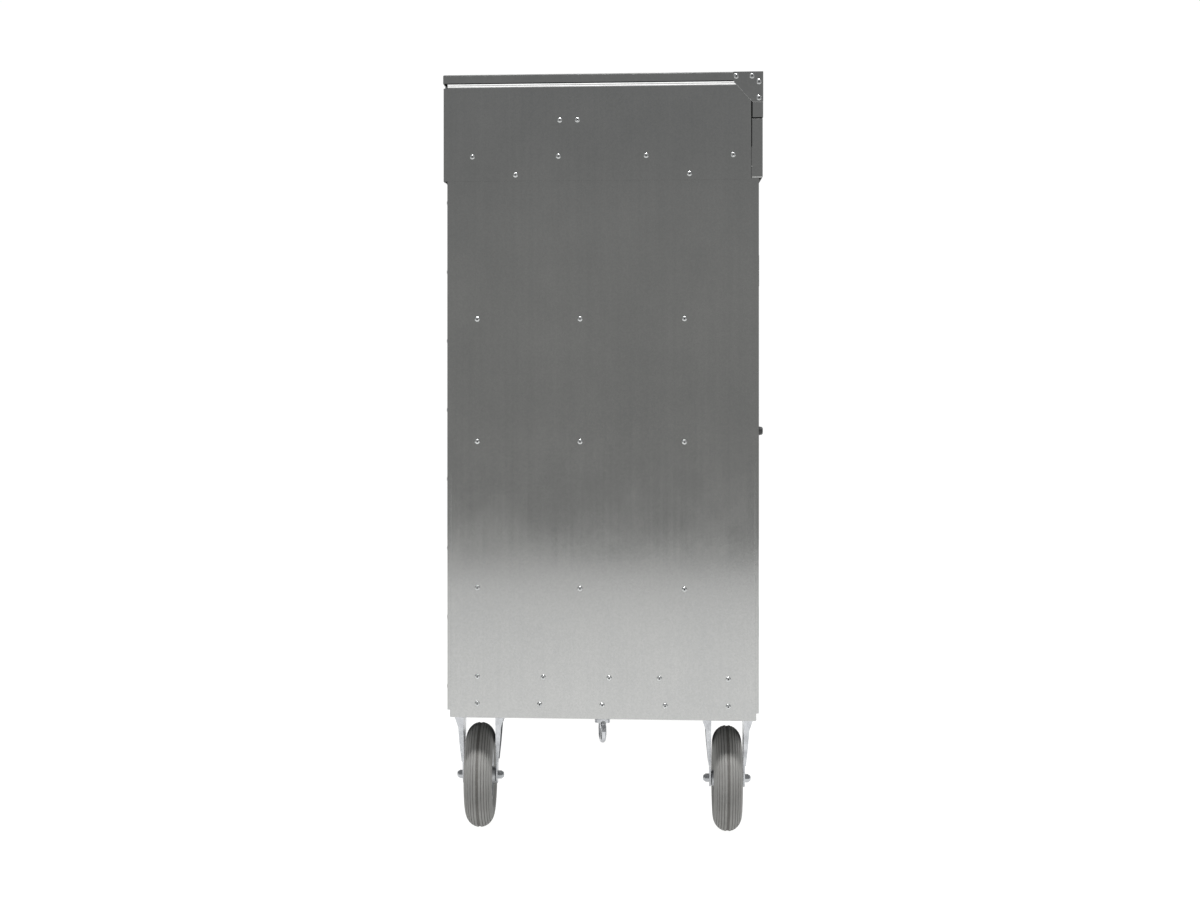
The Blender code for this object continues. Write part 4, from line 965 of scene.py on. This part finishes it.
# %% Door folds
DOOR_SKIN = 0.0015
DOOR_THICK = 0.025
FOLD_PLACE = 0.5                   # from the middle of the chest
FOLD_HALF = 0.024
FOLD_DEEP = 0.017
FOLD_FLANGE = 0.013
FOLD_END = 0.035
FOLD_LEAN = 0.005

door_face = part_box("left_door")[1].y - DOOR_THICK
for end, way in ENDS:
    low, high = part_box(f"{end}_door")
    inner = door_face + DOOR_SKIN + TOUCH_GAP
    hat = [
        (-FOLD_HALF - FOLD_FLANGE, inner + RIB_SHEET),
        (-FOLD_HALF, inner + RIB_SHEET),
        (-FOLD_HALF + FOLD_LEAN, inner + FOLD_DEEP),
        (FOLD_HALF - FOLD_LEAN, inner + FOLD_DEEP),
        (FOLD_HALF, inner + RIB_SHEET),
        (FOLD_HALF + FOLD_FLANGE, inner + RIB_SHEET),
    ]
    outline = [(way * FOLD_PLACE + x, y) for x, y in hat[::-1]]
    bm = bmesh.new()
    sheet_strip(bm, outline, low.z + FOLD_END, high.z - FOLD_END, RIB_SHEET, "Z")
    make_piece(f"{end}_door_fold", bm, galvanised_upright, f"{end}_door_body")
print("a fold inside each door")

# %% [markdown]
# The handle turns in a pressed ring, and its hub holds a small cylinder lock. The ring is a
# turned band with a low crown. The lock is a turned barrel with a black block as painted shade for its
# slot.

# %% Ring and lock of the handle
RING_INNER = 0.0600
RING_OUTER = 0.0670
RING_PROUD = 0.0014
KEYWAY_HALF = (0.0029, 0.00045)    # half its length, half its width
KEYWAY_FACES = (-0.0008, -0.0004)  # in front of the lever's face
handle_middle = middle_of("turn_handle")
bm = bmesh.new()
ring = [
    (RING_INNER, 0.0001),
    (RING_INNER + 0.0006, RING_PROUD * 0.8),
    (RING_INNER + 0.0016, RING_PROUD),
    (RING_OUTER - 0.0020, RING_PROUD * 0.9),
    (RING_OUTER - 0.0006, RING_PROUD * 0.5),
    (RING_OUTER, 0.0001),
]
centre = Vector((handle_middle.x, door_face, handle_middle.z))
turn_profile(bm, ring + ring[:1], facing((0, -1, 0), centre), 64)
make_piece("handle_ring", bm, zinc_plate, "right_door_body", 40)

lever_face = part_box("turn_handle")[0].y
hub = Vector((handle_middle.x, lever_face, handle_middle.z))
bm = bmesh.new()
barrel = [(0.0, 0.0006), (0.0040, 0.0006), (0.0044, 0.0011), (0.0054, 0.0011), (0.0060, 0.0005)]
turn_profile(bm, barrel + [(0.0060, 0.0), (0.0, 0.0)], facing((0, -1, 0), hub), 32)
make_piece("lock_barrel", bm, zinc_plate, "handle", 40)
# A thin black block stands in for the key's slot: painted shade, not a real opening.
bm = bmesh.new()
soft_box(
    bm,
    hub + Vector((-KEYWAY_HALF[0], KEYWAY_FACES[0], -KEYWAY_HALF[1])),
    hub + Vector((KEYWAY_HALF[0], KEYWAY_FACES[1], KEYWAY_HALF[1])),
    0.0001,
    1,
)
make_piece("keyway_painted_shade", bm, black_nylon, "handle")
print("ring, lock barrel and keyway at", [round(v, 3) for v in hub])
